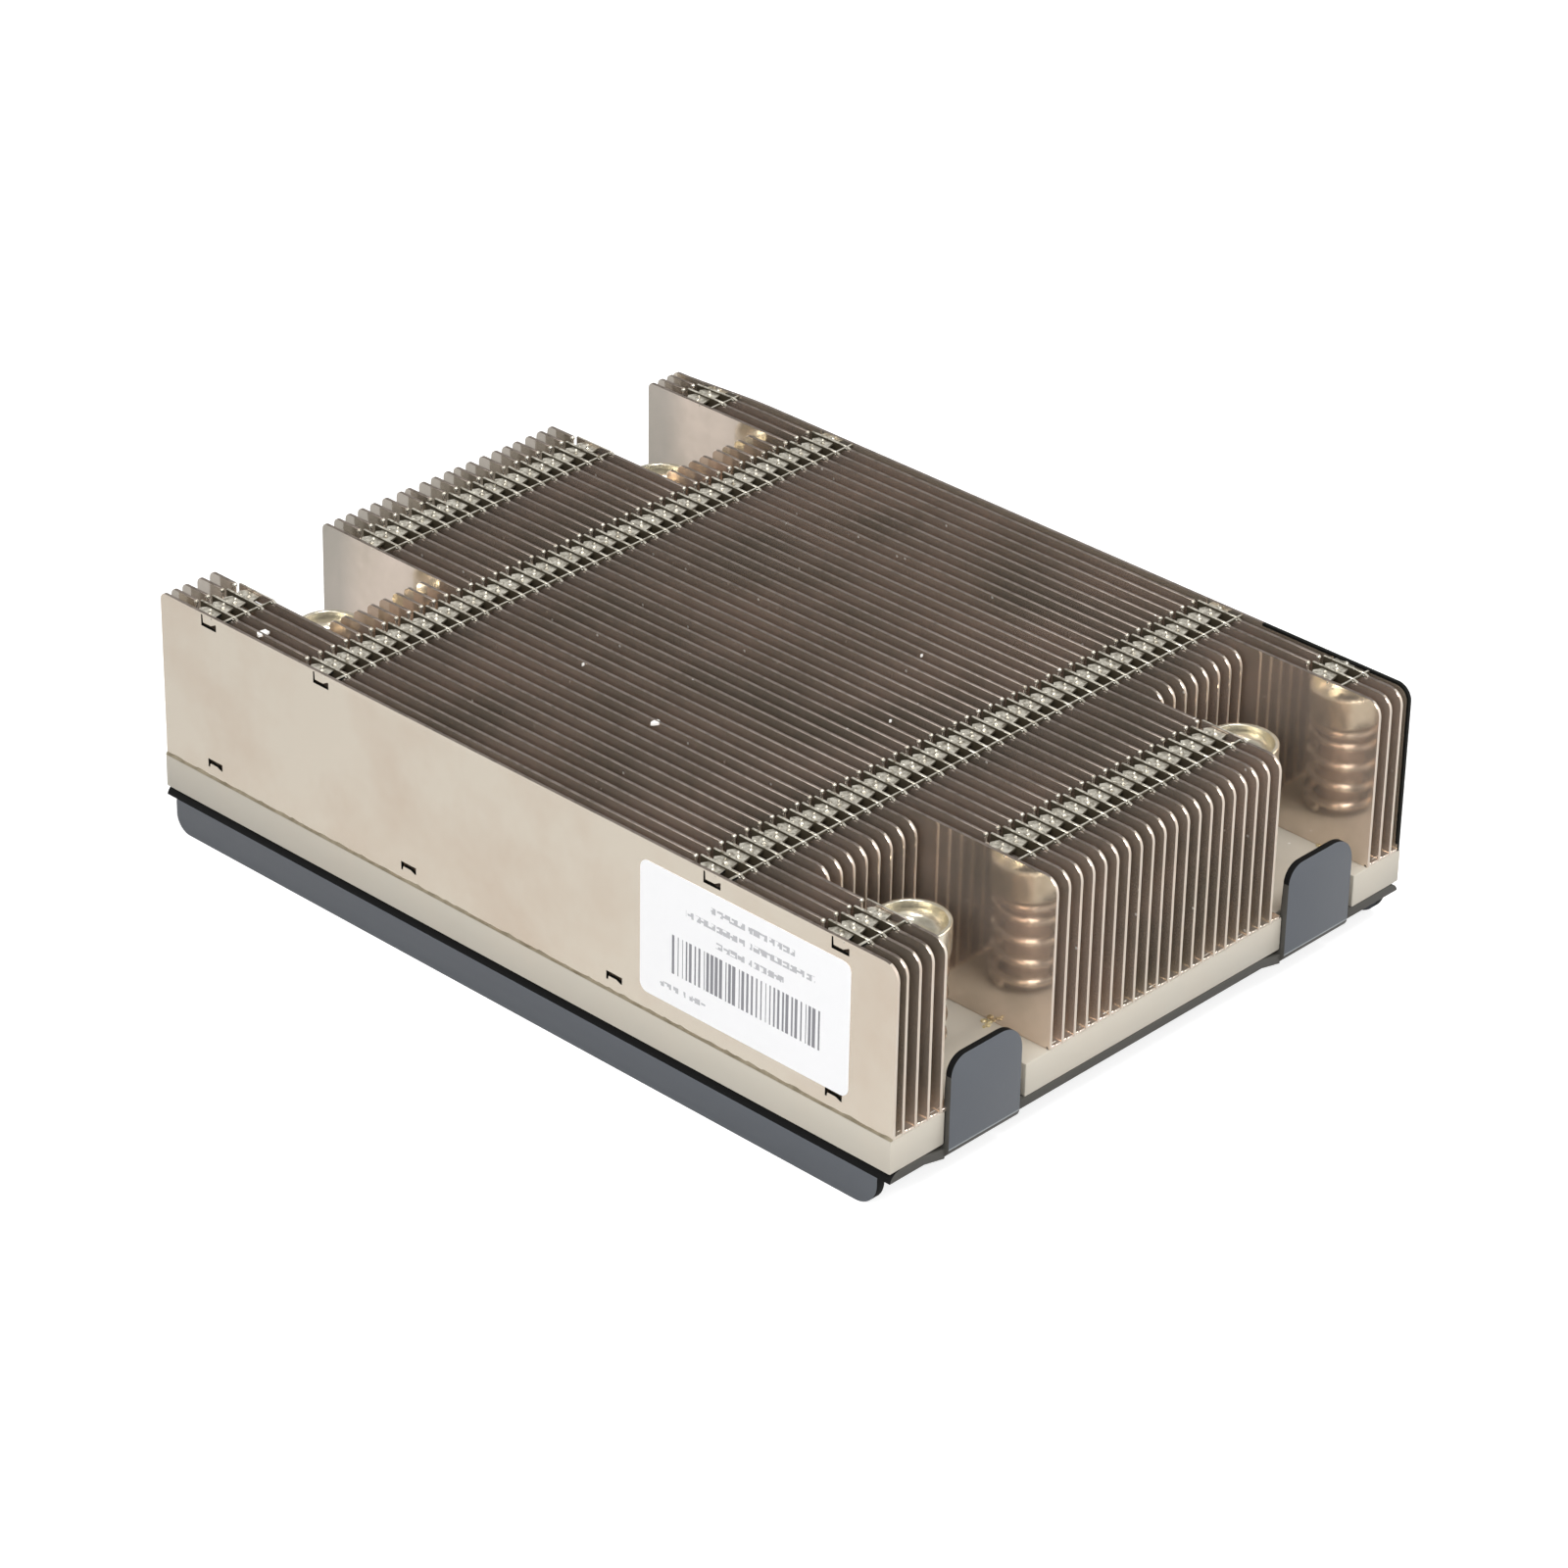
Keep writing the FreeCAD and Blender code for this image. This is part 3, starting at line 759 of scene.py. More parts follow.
def fin_materials(settings, place="inner"):
    """Finishes of a fin in the order of its slots: faces, rims in painted shade, ends, worked
    metal, shade.

    The two outer fins have their own faces and near black for the shade.
    """
    if place == "outer":
        faces = plated_metal("outer_fin_plating", settings.tint, dust=0.02, warp=0.2 * MM)
        dark = painted_steel("dark_edge", (0.006, 0.006, 0.005), 0.6, 0.0, gloss=0.12)
    else:
        faces = plated_metal("fin_plating", settings.inner, dust=0.05, warp=0.12 * MM,
                             rear_grey=0.6)
        dark = plated_metal("fin_shade", settings.shade)
    rims = plated_metal("fin_rim", settings.rim, dust=0.06)
    ends = plated_metal("fin_end", (0.70, 0.63, 0.55))
    worked = plated_metal("fin_worked", (0.75, 0.71, 0.61))
    return [faces, rims, ends, worked, dark]


FINISHES = ("Faces", "Rims", "Ends", "Worked", "Shaded")


def fin_row_tree():
    """Geometry Nodes: one fin on every point, its free ends leaning a little."""
    name = "Fin Row"
    if name in bpy.data.node_groups:
        return bpy.data.node_groups[name]
    tree = bpy.data.node_groups.new(name, "GeometryNodeTree")
    sockets = [("Points", "Geometry"), ("Fin", "Object"), ("Free From", "Float"),
               ("Free To", "Float")] + [(label, "Material") for label in FINISHES]
    for label, kind in sockets:
        tree.interface.new_socket(label, in_out="INPUT", socket_type="NodeSocket" + kind)
    tree.interface.new_socket("Fins", in_out="OUTPUT", socket_type="NodeSocketGeometry")
    entry = add_node(tree, "NodeGroupInput").outputs
    fin = add_node(tree, "GeometryNodeObjectInfo", {"Object": entry["Fin"]})
    placed = add_node(tree, "GeometryNodeInstanceOnPoints",
                      {"Points": entry["Points"], "Instance": fin.outputs["Geometry"]})
    real = add_node(tree, "GeometryNodeRealizeInstances",
                    {"Geometry": placed.outputs["Instances"]})
    lean = add_node(tree, "GeometryNodeInputNamedAttribute", {"Name": "lean"},
                    data_type="FLOAT").outputs["Attribute"]
    where = add_node(tree, "GeometryNodeInputPosition").outputs["Position"]
    parts = add_node(tree, "ShaderNodeSeparateXYZ", {"Vector": where}).outputs
    free = add_node(tree, "ShaderNodeMapRange",
                    {"Value": parts["Y"], "From Min": entry["Free From"],
                     "From Max": entry["Free To"]},
                    interpolation_type="SMOOTHSTEP").outputs["Result"]
    height = add_node(tree, "ShaderNodeMapRange",
                      {"Value": parts["Z"], "From Min": FIN_FLOOR + SHEET * 1.5,
                       "From Max": FIN_TOP}).outputs["Result"]
    amount = calc(tree, "MULTIPLY", calc(tree, "MULTIPLY", free, height), lean)
    shift = add_node(tree, "ShaderNodeCombineXYZ", {"X": amount}).outputs["Vector"]
    flow = add_node(tree, "GeometryNodeSetPosition",
                    {"Geometry": real.outputs["Geometry"],
                     "Offset": shift}).outputs["Geometry"]
    mark = add_node(tree, "GeometryNodeInputNamedAttribute", {"Name": "finish"},
                    data_type="INT").outputs["Attribute"]
    for number, label in enumerate(FINISHES):
        same = add_node(tree, "FunctionNodeCompare", {"A": mark, "B": number},
                        data_type="INT", operation="EQUAL").outputs["Result"]
        flow = add_node(tree, "GeometryNodeSetMaterial",
                        {"Geometry": flow, "Selection": same,
                         "Material": entry[label]}).outputs["Geometry"]
    add_node(tree, "NodeGroupOutput", {"Fins": flow})
    return tree


def set_inputs(modifier, values):
    """Sets a Geometry Nodes modifier's inputs by their sockets' identifiers."""
    for item in modifier.node_group.interface.items_tree:
        if item.item_type == "SOCKET" and item.in_out == "INPUT" and item.name in values:
            modifier[item.identifier] = values[item.name]


def fin_lean(number, settings):
    """How far a fin's rear top corner is bent sideways."""
    bent = {1: 0.0, 20: 0.3, 21: -0.35, 28: 0.28, 42: -0.1, 43: -0.45, 44: -0.8, 45: -1.15}
    if number in bent:
        return bent[number] * MM
    return random.Random(settings.seed * 100 + number).uniform(-1, 1) * settings.lean


def split_mesh(mesh, *places):
    """Cuts every face across the fin at the given distances along it."""
    bm = bmesh.new()
    bm.from_mesh(mesh)
    for y in places:
        bmesh.ops.bisect_plane(bm, geom=bm.verts[:] + bm.edges[:] + bm.faces[:],
                               plane_co=(0, y, 0), plane_no=(0, 1, 0))
    bm.to_mesh(mesh)
    bm.free()


def lean_mesh(mesh, amount, free):
    """Bends one fin's rear end sideways, most at its top."""
    split_mesh(mesh, *[free[0] + (free[1] - free[0]) * i / 6 for i in range(6)])
    for vert in mesh.vertices:
        t = min(max((vert.co.y - free[0]) / (free[1] - free[0]), 0.0), 1.0)
        rise = (vert.co.z - FIN_FLOOR) / (FIN_TOP - FIN_FLOOR)
        vert.co.x += amount * t * t * (3 - 2 * t) * max(rise, 0.0)


class HEATSINK_OT_fin_stack(Operator):
    """Stack of folded sheet fins in rows of long and short ones"""

    bl_idname = "heatsink.fin_stack"
    bl_label = "Fin Stack"

    def execute(self, context):
        settings = context.scene.heatsink_fins
        inner = range(2, FIN_COUNT)
        short = [n for n in inner if FINS[n - 1][1].y - FINS[n - 1][0].y < REAR - FRONT - MM]
        before = [n for n in inner if n not in short and n + 1 in short]
        after = [n for n in inner if n not in short and n - 1 in short]
        edges = sorted({*before, *after, 1, FIN_COUNT - 1, FIN_COUNT})
        long = [n for n in inner if n not in short and n not in edges]
        self.row("long_fins", long, LONG_BEND, settings)
        self.row("short_fins", short, SHORT_BEND, settings)
        for number in edges:
            kind = "outer" if number in (1, FIN_COUNT) else "inner"
            if number in before:
                kind = "last"
            elif number in after:
                kind = "first"
            self.edge_fin(number, kind, settings)
        return {"FINISHED"}

    def row(self, name, numbers, bend, settings):
        """Like fins in one piece, each a copy of one template."""
        template = new_object(name + "_template", fin_mesh(name, numbers[0], settings))
        finish_fin(template, settings.edge)
        mesh = bpy.data.meshes.new(name)
        mesh.from_pydata([(FINS[n - 1][0].x + SHEET / 2, 0.0, 0.0) for n in numbers], [], [])
        leans = mesh.attributes.new("lean", "FLOAT", "POINT")
        for i, n in enumerate(numbers):
            leans.data[i].value = fin_lean(n, settings)
        obj = new_object(name, mesh)
        modifier = obj.modifiers.new("row", "NODES")
        modifier.node_group = fin_row_tree()
        rear = FINS[numbers[0] - 1][1].y
        values = {"Fin": template, "Free From": rear - bend, "Free To": rear}
        values.update(zip(FINISHES, fin_materials(settings)))
        set_inputs(modifier, values)
        mesh.update()
        apply_modifiers(obj)
        bpy.data.objects.remove(template)
        settle(obj, BODY, "fin_metal", *["fin_%02d" % n for n in numbers])

    def edge_fin(self, number, kind, settings):
        """Fin at the edge of a block or of the whole stack, as a piece of its own."""
        low, high = FINS[number - 1]
        name = "edge_fin_%02d" % number
        mesh = fin_mesh(name, number, settings, kind)
        if kind == "outer":
            mesh = cut_slots(name, mesh)
        if fin_lean(number, settings):
            lean_mesh(mesh, fin_lean(number, settings), (high.y - LONG_BEND, high.y))
        if number == FIN_COUNT:
            split_mesh(mesh, FRONT + DARK_SPAN)
        mesh.transform(Matrix.Translation((low.x + SHEET / 2, 0.0, 0.0)))
        obj = new_object(name, mesh)
        finish_fin(obj, 0.0 if kind == "outer" else settings.edge)
        if number == FIN_COUNT:
            for polygon in obj.data.polygons:
                dark = polygon.center.y < FRONT + DARK_SPAN
                if dark and polygon.material_index != FACES:
                    polygon.material_index = SHADED
        settle(obj, BODY, "fin_metal", "fin_%02d" % number)


def hook_outline(y, z, slit, up):
    """Slit with a bar and two legs, the rear one tall and the front one a short wedge."""
    width, line, tall, short = [size * MM for size in slit]
    half = width / 2
    flat = [(-half, 0), (half, 0), (half, tall), (half - 0.45 * line, tall),
            (half - 0.6 * line, line), (short - half, line), (0.35 * line - half, short),
            (-half, short)]
    return [(y + a, z + up * b) for a, b in flat]


def cut_slots(name, mesh):
    """Cuts the slits round an outer fin's tongues, pointing up at the top and down below."""
    body = new_object(name + "_sheet", mesh)
    bm = bmesh.new()
    outlines = [hook_outline(y - MM, FIN_TOP - 1.7 * MM, UPPER_SLIT, 1) for y in band_places()]
    for i in range(4):
        y = FRONT + SLIT_INSET + i * (REAR - FRONT - 2 * SLIT_INSET) / 3
        outlines.append(hook_outline(y, FIN_FLOOR + 2.4 * MM, LOWER_SLIT, -1))
    for outline in outlines:
        add_prism(bm, outline, -SHEET * 0.9, SHEET * 0.9)
    # The slits' walls get the near black painted shade.
    paint(bm.faces, SHADED)
    cutter = object_from(bm, name + "_cutter")
    for material in mesh.materials:
        cutter.data.materials.append(material)
    carve(body, cutter, use_self=True)
    result = body.data
    bpy.data.objects.remove(body)
    return result


# Base plate and mounting frame


class HEATSINK_OT_base_plate(Operator):
    """Base plate with softened edges"""

    bl_idname = "heatsink.base_plate"
    bl_label = "Base Plate"

    def execute(self, context):
        settings = context.scene.heatsink_plate
        metal = plated_metal("base_plating", settings.tint, dust=0.05)
        obj = cad_copy("base_plate", "base_block", metal)
        bevel(obj, settings.edge)
        shade(obj)
        settle(obj, BODY, "base_metal", "base_plate")
        return {"FINISHED"}


PAINT, CUT, EDGE_SHADE, PAINTED_GLINT = range(4)


def frame_finish(normal, centre):
    """Finish of a frame's face: paint, near black cut edge, painted shade under the bends and
    along the edge under the base, or a thin line of painted highlight.
    """
    top = FRAME_TOP
    if centre.z > top + 0.05 * MM:
        return PAINT if abs(normal.y) > 0.75 else CUT
    before = centre.y < FRONT - 0.02 * MM
    if centre.y < FRONT + 0.9 * MM and abs(normal.x) < 0.5 and centre.z < top - 0.4 * MM:
        # A painted highlight line where the bend turns just below level.
        if before and -0.12 < normal.z < -0.01:
            return PAINTED_GLINT
        # Faces turned down or forward under the bends get the painted shade.
        if normal.z < -0.12 or normal.y < -0.5:
            return EDGE_SHADE
    if before:
        return CUT if abs(normal.x) > 0.5 else PAINT
    # Along the sheet's edge under the base: near black at the sides and rear, the painted shade
    # in front and on top.
    if centre.z > top - 1.25 * MM:
        side = abs(centre.x) > BASE_HIGH.x - 1.7 * MM
        return CUT if side or normal.y > 0.5 else EDGE_SHADE
    return CUT if abs(normal.y) > 0.3 or normal.z < -0.3 else PAINT


class HEATSINK_OT_mounting_frame(Operator):
    """Painted steel frame with darker cut edges"""

    bl_idname = "heatsink.mounting_frame"
    bl_label = "Mounting Frame"

    def execute(self, context):
        settings = context.scene.heatsink_frame
        paint = painted_steel("frame_paint", settings.paint, 0.38, 0.06)
        cut = painted_steel("frame_cut_edge", settings.cut, 0.6, 0.02, gloss=0.1)
        edge_shade = painted_steel("frame_edge_shade", settings.edge_shade, 0.5, 0.1, gloss=0.3)
        painted_glint = painted_steel("frame_painted_glint", settings.painted_glint, 0.4, 0.1)
        obj = cad_copy("mounting_frame", "steel_frame", paint)
        bevel(obj, settings.edge)
        shade(obj)
        for material in (cut, edge_shade, painted_glint):
            obj.data.materials.append(material)
        for polygon in obj.data.polygons:
            polygon.material_index = frame_finish(polygon.normal, polygon.center)
        for vert in obj.data.vertices:
            rise = vert.co.z - FRAME_TOP
            if rise > 0.05 * MM and vert.co.y > FRAME_LOW.y + 0.6 * MM:
                vert.co.y -= settings.thinning * min(rise / (1.5 * MM), 1.0)
        settle(obj, BODY, "frame_black", "mounting_frame")
        return {"FINISHED"}


# Solder and flakes


# Gold spots on the base plate: X, Y and size
GOLD_SPOTS = ((-17.9 * MM, -50.0 * MM, 0.9 * MM), (-19.6 * MM, -50.6 * MM, 0.6 * MM),
           (38.4 * MM, -51.5 * MM, 0.7 * MM))

# Flakes on the fins' tops: X, Y and size in millimetres
FLAKES = ((-24.3, -3.6, 0.85), (-41.8, 43.5, 1.0), (-20.5, 12.0, 0.22), (9.0, -14.0, 0.2),
          (22.0, 20.0, 0.22), (-5.0, -22.0, 0.2))

class HEATSINK_OT_solder(Operator):
    """Solder seams round the foot of the fins, with a few small gold lumps by the screws"""

    bl_idname = "heatsink.solder"
    bl_label = "Solder"

    def execute(self, context):
        settings = context.scene.heatsink_solder
        dark = plated_metal("solder_seam", settings.seam)
        pale = plated_metal("solder_bead", settings.bead)
        gold = plated_metal("gold_spots", settings.gold_spots)
        chance = random.Random(settings.seed)
        self.ribbon("side_seam", chance, (FRONT, REAR), 1, (0.05, 0.42), 0.8 * MM,
                    (BASE_LOW.x + 0.04 * MM, FINS[0][0].x + 0.02 * MM), dark)
        for i, (first, last) in enumerate(((1, 5), (14, 33), (42, 45))):
            span = (FINS[first - 1][0].x, FINS[last - 1][1].x)
            self.ribbon("front_bead_%d" % (i + 1), chance, span, 0, (0.12, 0.5), 0.7 * MM,
                        (FRONT + 0.02 * MM, FRONT + 0.5 * MM), pale)
        bm = bmesh.new()
        for x, y, r in GOLD_SPOTS:
            for _ in range(5):
                spot = (x + chance.uniform(-1, 1) * r, y + chance.uniform(-1, 1) * r * 0.5,
                        FIN_FLOOR + 0.05 * MM)
                size = r * chance.uniform(0.25, 0.5)
                flat = Matrix.Translation(spot) @ Matrix.Diagonal((1, 1, 0.5, 1))
                bmesh.ops.create_icosphere(bm, subdivisions=2, radius=size, matrix=flat)
        for vert in bm.verts:
            vert.co += Vector([chance.uniform(-1, 1) * 0.05 * MM for _ in range(3)])
        lumps = object_from(bm, "residue_lumps", gold)
        shade(lumps, 60)
        settle(lumps, BODY, "base_metal")
        return {"FINISHED"}

    def ribbon(self, name, chance, span, axis, heights, step, sides, material):
        """Bead of uneven height along X (axis 0) or Y (axis 1), on the base plate."""
        bm = bmesh.new()
        near, far = sides
        count = max(int((span[1] - span[0]) / step), 2)
        rows = []
        for i in range(count + 1):
            t = span[0] + (span[1] - span[0]) * i / count
            height = FIN_FLOOR + chance.uniform(*heights) * MM
            slump = near + (far - near) * chance.uniform(0.2, 0.5)
            section = [(near, FIN_FLOOR), (slump, height * 0.4 + FIN_FLOOR * 0.6),
                       (far, height), (far, FIN_FLOOR)]
            rows.append([bm.verts.new((t, across, z) if axis == 0 else (across, t, z))
                         for across, z in section])
        skin(bm, rows)
        obj = object_from(bm, name, material)
        shade(obj, 50)
        settle(obj, BODY, "base_metal")


class HEATSINK_OT_flakes(Operator):
    """Flakes of dirt caught between the fins"""

    bl_idname = "heatsink.flakes"
    bl_label = "Flakes"

    def execute(self, context):
        material, tree, shader = new_material("white_flake")
        feed(tree, shader, {"Base Color": (0.92, 0.90, 0.86, 1.0), "Roughness": 0.6})
        chance = random.Random(3)
        bm = bmesh.new()
        for x, y, size in FLAKES:
            points = []
            for a in turn_angles(9):
                r = size * chance.uniform(0.6, 1.0)
                points.append(((x + r * math.cos(a)) * MM, (y + 0.6 * r * math.sin(a)) * MM))
            add_prism(bm, points, FIN_TOP - 0.3 * MM, FIN_TOP - 0.005 * MM, axes=(0, 1, 2))
        settle(object_from(bm, "flakes", material), BODY, "label_white")
        return {"FINISHED"}


# Screws, rings and springs


HEAD, SHANK, SOCKET = range(3)
SOCKET_REACH = 2.1 * MM


def corner_place(corner):
    """Middle of a screw, from its CAD node."""
    low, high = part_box("captive_screw_" + corner)
    return (low.x + high.x) / 2, (low.y + high.y) / 2


def lathe(name, profile, steps, place):
    """Solid of revolution from (radius, height) points, closed on its axis."""
    bm = bmesh.new()
    rings = []
    for radius, z in profile:
        if radius == 0:
            rings.append([bm.verts.new((place[0], place[1], z))])
            continue
        rings.append([bm.verts.new((place[0] + radius * math.cos(a),
                                    place[1] + radius * math.sin(a), z))
                      for a in turn_angles(steps)])
    for a, b in zip(rings, rings[1:]):
        for i in range(steps):
            j = (i + 1) % steps
            corners = [a[i % len(a)], a[j % len(a)], b[j % len(b)], b[i % len(b)]]
            corners = list(dict.fromkeys(corners))
            if len(corners) > 2:
                bm.faces.new(corners)
    return mesh_from(bm, name)


class HEATSINK_OT_captive_screws(Operator):
    """Shoulder screws with dished heads, drive sockets and threads"""

    bl_idname = "heatsink.captive_screws"
    bl_label = "Captive Screws"

    def execute(self, context):
        settings = context.scene.heatsink_screws
        yellow = plated_metal("screw_plating", settings.tint)
        brown = plated_metal("shank_finish", settings.lower)
        # The socket's dark colour is painted shade inside the drive recess.
        hollow = plated_metal("socket_shade", (0.17, 0.145, 0.10))
        for corner in CORNERS:
            low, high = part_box("captive_screw_" + corner)
            place = corner_place(corner)
            neck = high.z - HEAD_HEIGHT
            floor = high.z - settings.cup
            name = "screw_" + corner
            profile = self.profile(settings, low.z, high.z, (high.x - low.x) / 2)
            obj = new_object(name, lathe(name, profile, 64, place), yellow)
            self.cut_socket(obj, place, floor)
            shade(obj, 30)
            for material in (brown, hollow):
                obj.data.materials.append(material)
            for polygon in obj.data.polygons:
                x, y, z = polygon.center
                aside = math.hypot(x - place[0], y - place[1])
                if z < neck - 0.05 * MM:
                    polygon.material_index = SHANK
                # Faces inside the socket take the painted shade.
                elif aside < SOCKET_REACH and z < floor - 0.02 * MM:
                    polygon.material_index = SOCKET
            settle(obj, "screw_" + corner, "screw_gold", "captive_screw_" + corner)
        return {"FINISHED"}

    def profile(self, settings, low, top, head):
        """Half section from the tip up round the head's rim and down into its cup."""
        shank, thread, rim = settings.shank, settings.thread, settings.rim
        shoulder = low + 1.4 * MM
        neck = top - HEAD_HEIGHT
        floor = top - settings.cup
        lip, hollow = 0.15 * MM, 1.6 * MM
        points = [(0, low), (thread - 0.5 * MM, low + 0.1 * MM), (thread, low + 0.6 * MM),
                  (thread, shoulder), (shank, shoulder), (shank, neck), (head - rim, neck)]
        points += arc((head - rim, neck + rim), rim, -90, 0, 4)
        points += arc((head - rim, top - rim), rim, 0, 90, 4)
        points += arc((head - 0.42 * MM, top - lip), lip, 90, 180, 4)
        points += arc((head - 2.2 * MM, floor + hollow), hollow, 0, -90, 8)
        return points + [(0, floor)]

    def cut_socket(self, obj, place, floor):
        """Six-lobed drive socket in the head's floor."""
        points = []
        for a in turn_angles(72):
            r = 1.75 * MM + 0.28 * MM * math.cos(6 * a)
            points.append((place[0] + r * math.cos(a), place[1] + r * math.sin(a)))
        bm = bmesh.new()
        add_prism(bm, points, floor - 1.0 * MM, floor + 0.5 * MM, axes=(0, 1, 2))
        carve(obj, object_from(bm, "socket_cutter"))


class HEATSINK_OT_retaining_rings(Operator):
    """Flat rings pushed onto the screws under the frame"""

    bl_idname = "heatsink.retaining_rings"
    bl_label = "Retaining Rings"

    def execute(self, context):
        steel = plated_metal("ring_steel_finish", (0.30, 0.29, 0.28))
        for corner in CORNERS:
            name = "retaining_ring_" + corner
            obj = cad_copy(name, "push_ring_" + corner, steel)
            bevel(obj, 0.06 * MM, segments=1)
            shade(obj)
            settle(obj, "ring_" + corner, "ring_steel", name)
        return {"FINISHED"}


class HEATSINK_OT_springs(Operator):
    """Round wire springs, built at rest, of the kind that close up when a screw is pressed"""

    bl_idname = "heatsink.springs"
    bl_label = "Springs"

    def execute(self, context):
        settings = context.scene.heatsink_springs
        metal = plated_metal("spring_wire", settings.tint)
        for corner in CORNERS:
            low = BASE_HIGH.z + COIL_GAP
            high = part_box("captive_screw_" + corner)[1].z - HEAD_HEIGHT - COIL_GAP
            name = "coil_" + corner
            coil = self.coil(name, corner_place(corner), low, high, settings)
            obj = new_object(name, coil, metal)
            settle(obj, BODY, "spring_steel", "spring_" + corner)
            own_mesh(obj)
        return {"FINISHED"}

    def coil(self, name, place, low, high, settings):
        """Wire swept along the spring's line, its ends closed."""
        wire = settings.wire / 2
        steps, sides = 40, 10
        turns = settings.active_turns + 2 * settings.end_turns
        span = high - low - 2 * wire
        closed = 2 * wire + 0.03 * MM
        pitch = (span - 2 * settings.end_turns * closed) / settings.active_turns
        bm = bmesh.new()
        rings = []
        for i in range(round(turns * steps) + 1):
            turn = i / steps
            lead = min(turn, settings.end_turns)
            tail = max(turn - settings.end_turns - settings.active_turns, 0.0)
            z = low + wire + (lead + tail) * closed + (turn - lead - tail) * pitch
            a = 2 * math.pi * turn
            ring = []
            for b in turn_angles(sides):
                r = settings.radius + wire * math.cos(b)
                ring.append(bm.verts.new((place[0] + r * math.cos(a),
                                          place[1] + r * math.sin(a),
                                          z + wire * math.sin(b))))
            rings.append(ring)
        for face in skin(bm, rings):
            face.smooth = True
        return mesh_from(bm, name)


# The label's print

GREY, DARK = (0.52, 0.52, 0.54), (0.25, 0.25, 0.27)

# Rows of print: bottom, top, start and end on the label in millimetres, cells and lines per
# metre, the inked share of a cell, and the ink
PRINT = (
    (14.4, 15.2, 8.2, 20.8, 900.0, 4000.0, 0.9, GREY),
    (12.4, 13.2, 5.2, 24.6, 900.0, 4000.0, 0.9, GREY),
    (10.3, 11.1, 9.8, 20.0, 900.0, 4000.0, 0.9, GREY),
    (4.2, 9.2, 4.2, 27.0, 1500.0, 0.0, 0.6, DARK),
    (1.9, 2.6, 21.5, 28.5, 900.0, 4000.0, 0.9, GREY),
)


class HEATSINK_OT_label(Operator):
    """Sticker on the outer fin, with rows of plain print"""

    bl_idname = "heatsink.label"
    bl_label = "Label"

    def execute(self, context):
        settings = context.scene.heatsink_label
        low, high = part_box("label")
        bm = bmesh.new()
        outline = []
        r = 1.2 * MM
        for y, z, start in ((high.y - r, high.z - r, 0), (low.y + r, high.z - r, 90),
                            (low.y + r, low.z + r, 180), (high.y - r, low.z + r, 270)):
            outline += arc((y, z), r, start, start + 90, 8)
        add_prism(bm, outline, low.x, high.x)
        obj = object_from(bm, "side_sticker", self.paper(settings.tint, low))
        bevel(obj, settings.edge, segments=1)
        settle(obj, BODY, "label_white", "label")
        return {"FINISHED"}

    def paper(self, tint, low):
        """Fibrous paper with its rows of print, which are placed from the lower corner."""
        material, tree, shader = new_material("label_paper")
        vector = object_coordinates(tree)
        fibre = add_node(tree, "ShaderNodeTexNoise",
                         {"Vector": vector, "Scale": 900.0, "Detail": 4.0}).outputs["Fac"]
        tone = blend(tree, fibre, (*[c * 0.97 for c in tint], 1.0), (*tint, 1.0))
        for bottom, top, start, end, cells, lines, share, ink in PRINT:
            row = add_node(tree, "ShaderNodeGroup", {
                "Vector": vector, "Low": low.z + bottom * MM, "High": low.z + top * MM,
                "From": low.y + start * MM, "To": low.y + end * MM, "Cells": cells,
                "Lines": lines, "Share": share}, node_tree=printed_row_group())
            tone = blend(tree, row.outputs["Mask"], tone, (*ink, 1.0))
        normal = bump(tree, {"Height": fibre, "Strength": 0.1, "Distance": 0.02 * MM})
        feed(tree, shader, {"Base Color": tone, "Roughness": 0.42, "Normal": normal})
        return material


# Stage


def area_light(name, place, size, power):
    """Soft rectangular lamp that points at the part."""
    data = bpy.data.lights.new(name, "AREA")
    data.shape = "RECTANGLE"
    data.size, data.size_y = size
    data.energy = power
    obj = bpy.data.objects.new(name, data)
    obj.location = place
    aim = Vector((0, 0, 0.02)) - Vector(place)
    obj.rotation_euler = aim.to_track_quat("-Z", "Y").to_euler()
    bpy.context.scene.collection.objects.link(obj)


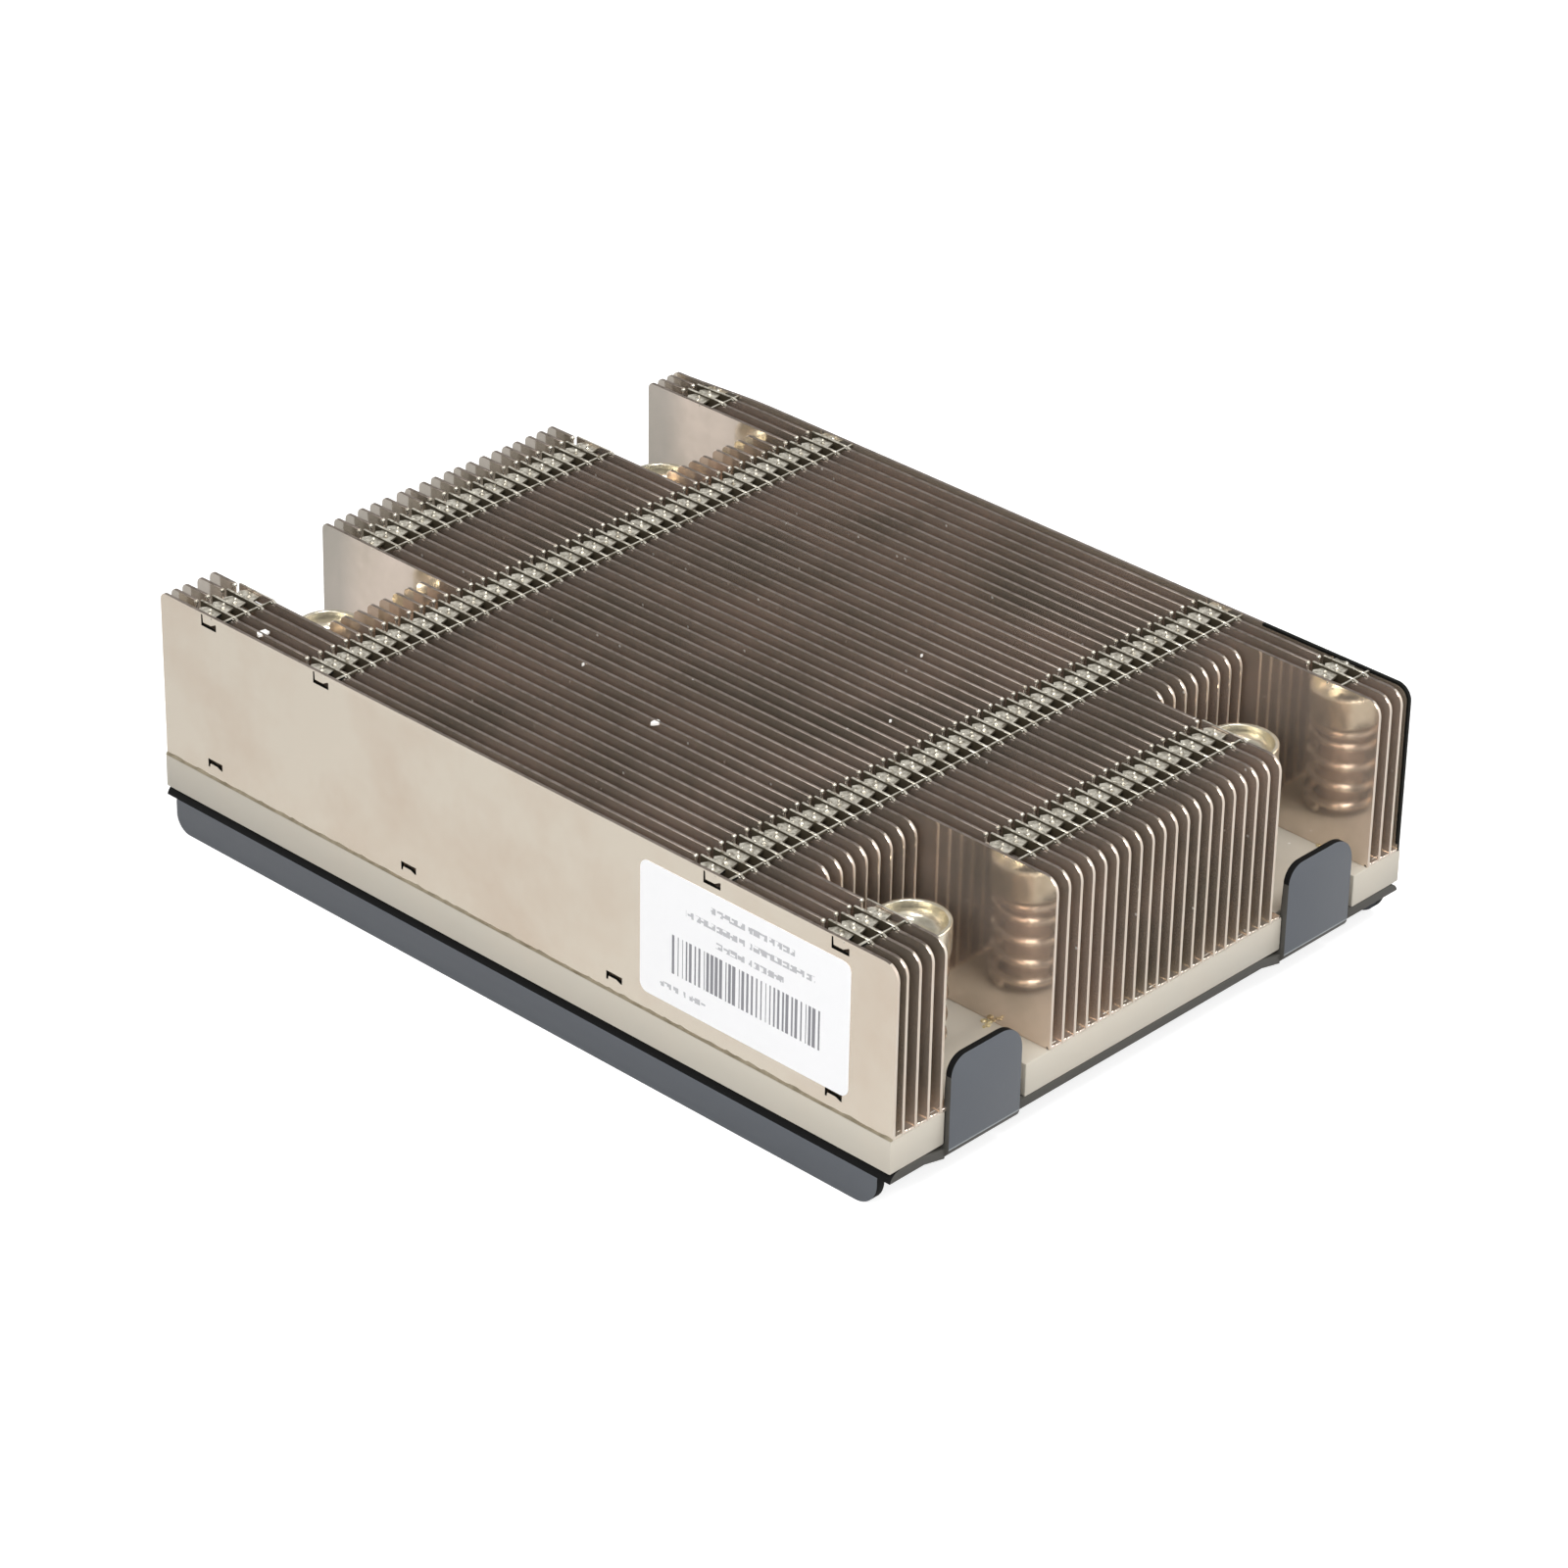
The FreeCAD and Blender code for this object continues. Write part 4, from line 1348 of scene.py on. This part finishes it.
class HEATSINK_OT_stage(Operator):
    """Camera, pale floor and soft lights"""

    bl_idname = "heatsink.stage"
    bl_label = "Stage"

    def execute(self, context):
        settings = context.scene.heatsink_stage
        self.camera(context, settings)
        self.floor(settings)
        self.world(context, settings)
        area_light("key", (-0.75, -0.4, 0.5), (0.5, 0.4), 4.8)
        area_light("fill", (0.6, -0.8, 0.4), (0.3, 0.3), 1.8)
        area_light("top", (-0.05, -0.45, 1.0), (0.4, 0.4), 8.0)
        context.scene.view_settings.view_transform = "Standard"
        return {"FINISHED"}

    def camera(self, context, settings):
        """Camera at the photograph's place."""
        data = bpy.data.cameras.new("camera")
        data.lens = settings.lens
        data.sensor_width = 36.0
        data.clip_start, data.clip_end = 0.01, 50.0
        obj = bpy.data.objects.new("camera", data)
        context.scene.collection.objects.link(obj)
        h, p = settings.heading, settings.pitch
        forward = Vector((math.cos(h) * math.cos(p), math.sin(h) * math.cos(p), -math.sin(p)))
        turn = forward.to_track_quat("-Z", "Y").to_matrix().to_4x4()
        roll = Matrix.Rotation(settings.roll, 4, "Z")
        obj.matrix_world = Matrix.Translation(settings.place) @ turn @ roll
        context.scene.camera = obj

    def floor(self, settings):
        """Pale floor that shows white to the camera and keeps the shadow."""
        bm = bmesh.new()
        size = 3.0
        bm.faces.new([bm.verts.new((x, y, 0.0)) for x, y in rectangle(-size, size, -size, size)])
        material, tree, shader = new_material("pale_floor")
        path = add_node(tree, "ShaderNodeLightPath").outputs
        seen = calc(tree, "MULTIPLY_ADD", path["Is Glossy Ray"], 0.3, path["Is Camera Ray"])
        feed(tree, shader, {"Base Color": (*settings.floor, 1.0), "Roughness": 0.7,
                            "Specular IOR Level": 0.1, "Emission Color": WHITE,
                            "Emission Strength": calc(tree, "MULTIPLY", seen, settings.glow)})
        object_from(bm, "floor", material)

    def world(self, context, settings):
        """White surroundings: full white to the camera, white toward the horizon and dimmer
        toward the zenith in reflections, and the sky's strength in other light.
        """
        world = bpy.data.worlds.new("surroundings")
        context.scene.world = world
        world.use_nodes = True
        tree = world.node_tree
        path = add_node(tree, "ShaderNodeLightPath").outputs
        direction = add_node(tree, "ShaderNodeTexCoord").outputs["Generated"]
        parts = add_node(tree, "ShaderNodeSeparateXYZ", {"Vector": direction}).outputs
        fade = add_node(tree, "ShaderNodeMapRange",
                        {"Value": parts["Z"], "From Min": 0.15, "From Max": 0.85,
                         "To Min": 1.0, "To Max": settings.zenith},
                        interpolation_type="SMOOTHSTEP").outputs["Result"]
        mirrored = blend(tree, path["Is Glossy Ray"], settings.sky, fade, "FLOAT")
        seen = blend(tree, path["Is Camera Ray"], mirrored, 1.0, "FLOAT")
        feed(tree, tree.nodes["Background"], {"Color": WHITE, "Strength": seen})


# Sidebar and registration


class HEATSINK_PT_panel(Panel):
    """Lists the pieces and the stage"""

    bl_idname = "HEATSINK_PT_panel"
    bl_label = "Heat Sink"
    bl_space_type = "VIEW_3D"
    bl_region_type = "UI"
    bl_category = "Heat Sink"

    def draw(self, context):
        layout = self.layout
        for operator, settings in STEPS:
            layout.operator(operator.bl_idname)
            if settings:
                group = getattr(context.scene, settings)
                for key in group.__annotations__:
                    layout.prop(group, key)


SETTINGS = {
    "heatsink_fins": HeatSinkFinSettings,
    "heatsink_plate": HeatSinkPlateSettings,
    "heatsink_frame": HeatSinkFrameSettings,
    "heatsink_solder": HeatSinkSolderSettings,
    "heatsink_screws": HeatSinkScrewSettings,
    "heatsink_springs": HeatSinkSpringSettings,
    "heatsink_label": HeatSinkLabelSettings,
    "heatsink_stage": HeatSinkStageSettings,
}

STEPS = (
    (HEATSINK_OT_stage, "heatsink_stage"),
    (HEATSINK_OT_base_plate, "heatsink_plate"),
    (HEATSINK_OT_mounting_frame, "heatsink_frame"),
    (HEATSINK_OT_fin_stack, "heatsink_fins"),
    (HEATSINK_OT_solder, "heatsink_solder"),
    (HEATSINK_OT_flakes, None),
    (HEATSINK_OT_captive_screws, "heatsink_screws"),
    (HEATSINK_OT_retaining_rings, None),
    (HEATSINK_OT_springs, "heatsink_springs"),
    (HEATSINK_OT_label, "heatsink_label"),
)

CLASSES = tuple(SETTINGS.values()) + tuple(step[0] for step in STEPS) + (HEATSINK_PT_panel,)


def register():
    for cls in CLASSES:
        bpy.utils.register_class(cls)
    for name, group in SETTINGS.items():
        setattr(bpy.types.Scene, name, PointerProperty(type=group))


def unregister():
    for name in SETTINGS:
        delattr(bpy.types.Scene, name)
    for cls in reversed(CLASSES):
        bpy.utils.unregister_class(cls)


def main():
    """Builds every piece and the stage."""
    register()
    bpy.ops.heatsink.stage()
    bpy.ops.heatsink.base_plate()
    bpy.ops.heatsink.mounting_frame()
    bpy.ops.heatsink.fin_stack()
    bpy.ops.heatsink.solder()
    bpy.ops.heatsink.flakes()
    bpy.ops.heatsink.captive_screws()
    bpy.ops.heatsink.retaining_rings()
    bpy.ops.heatsink.springs()
    bpy.ops.heatsink.label()


if __name__ == "__main__":
    main()
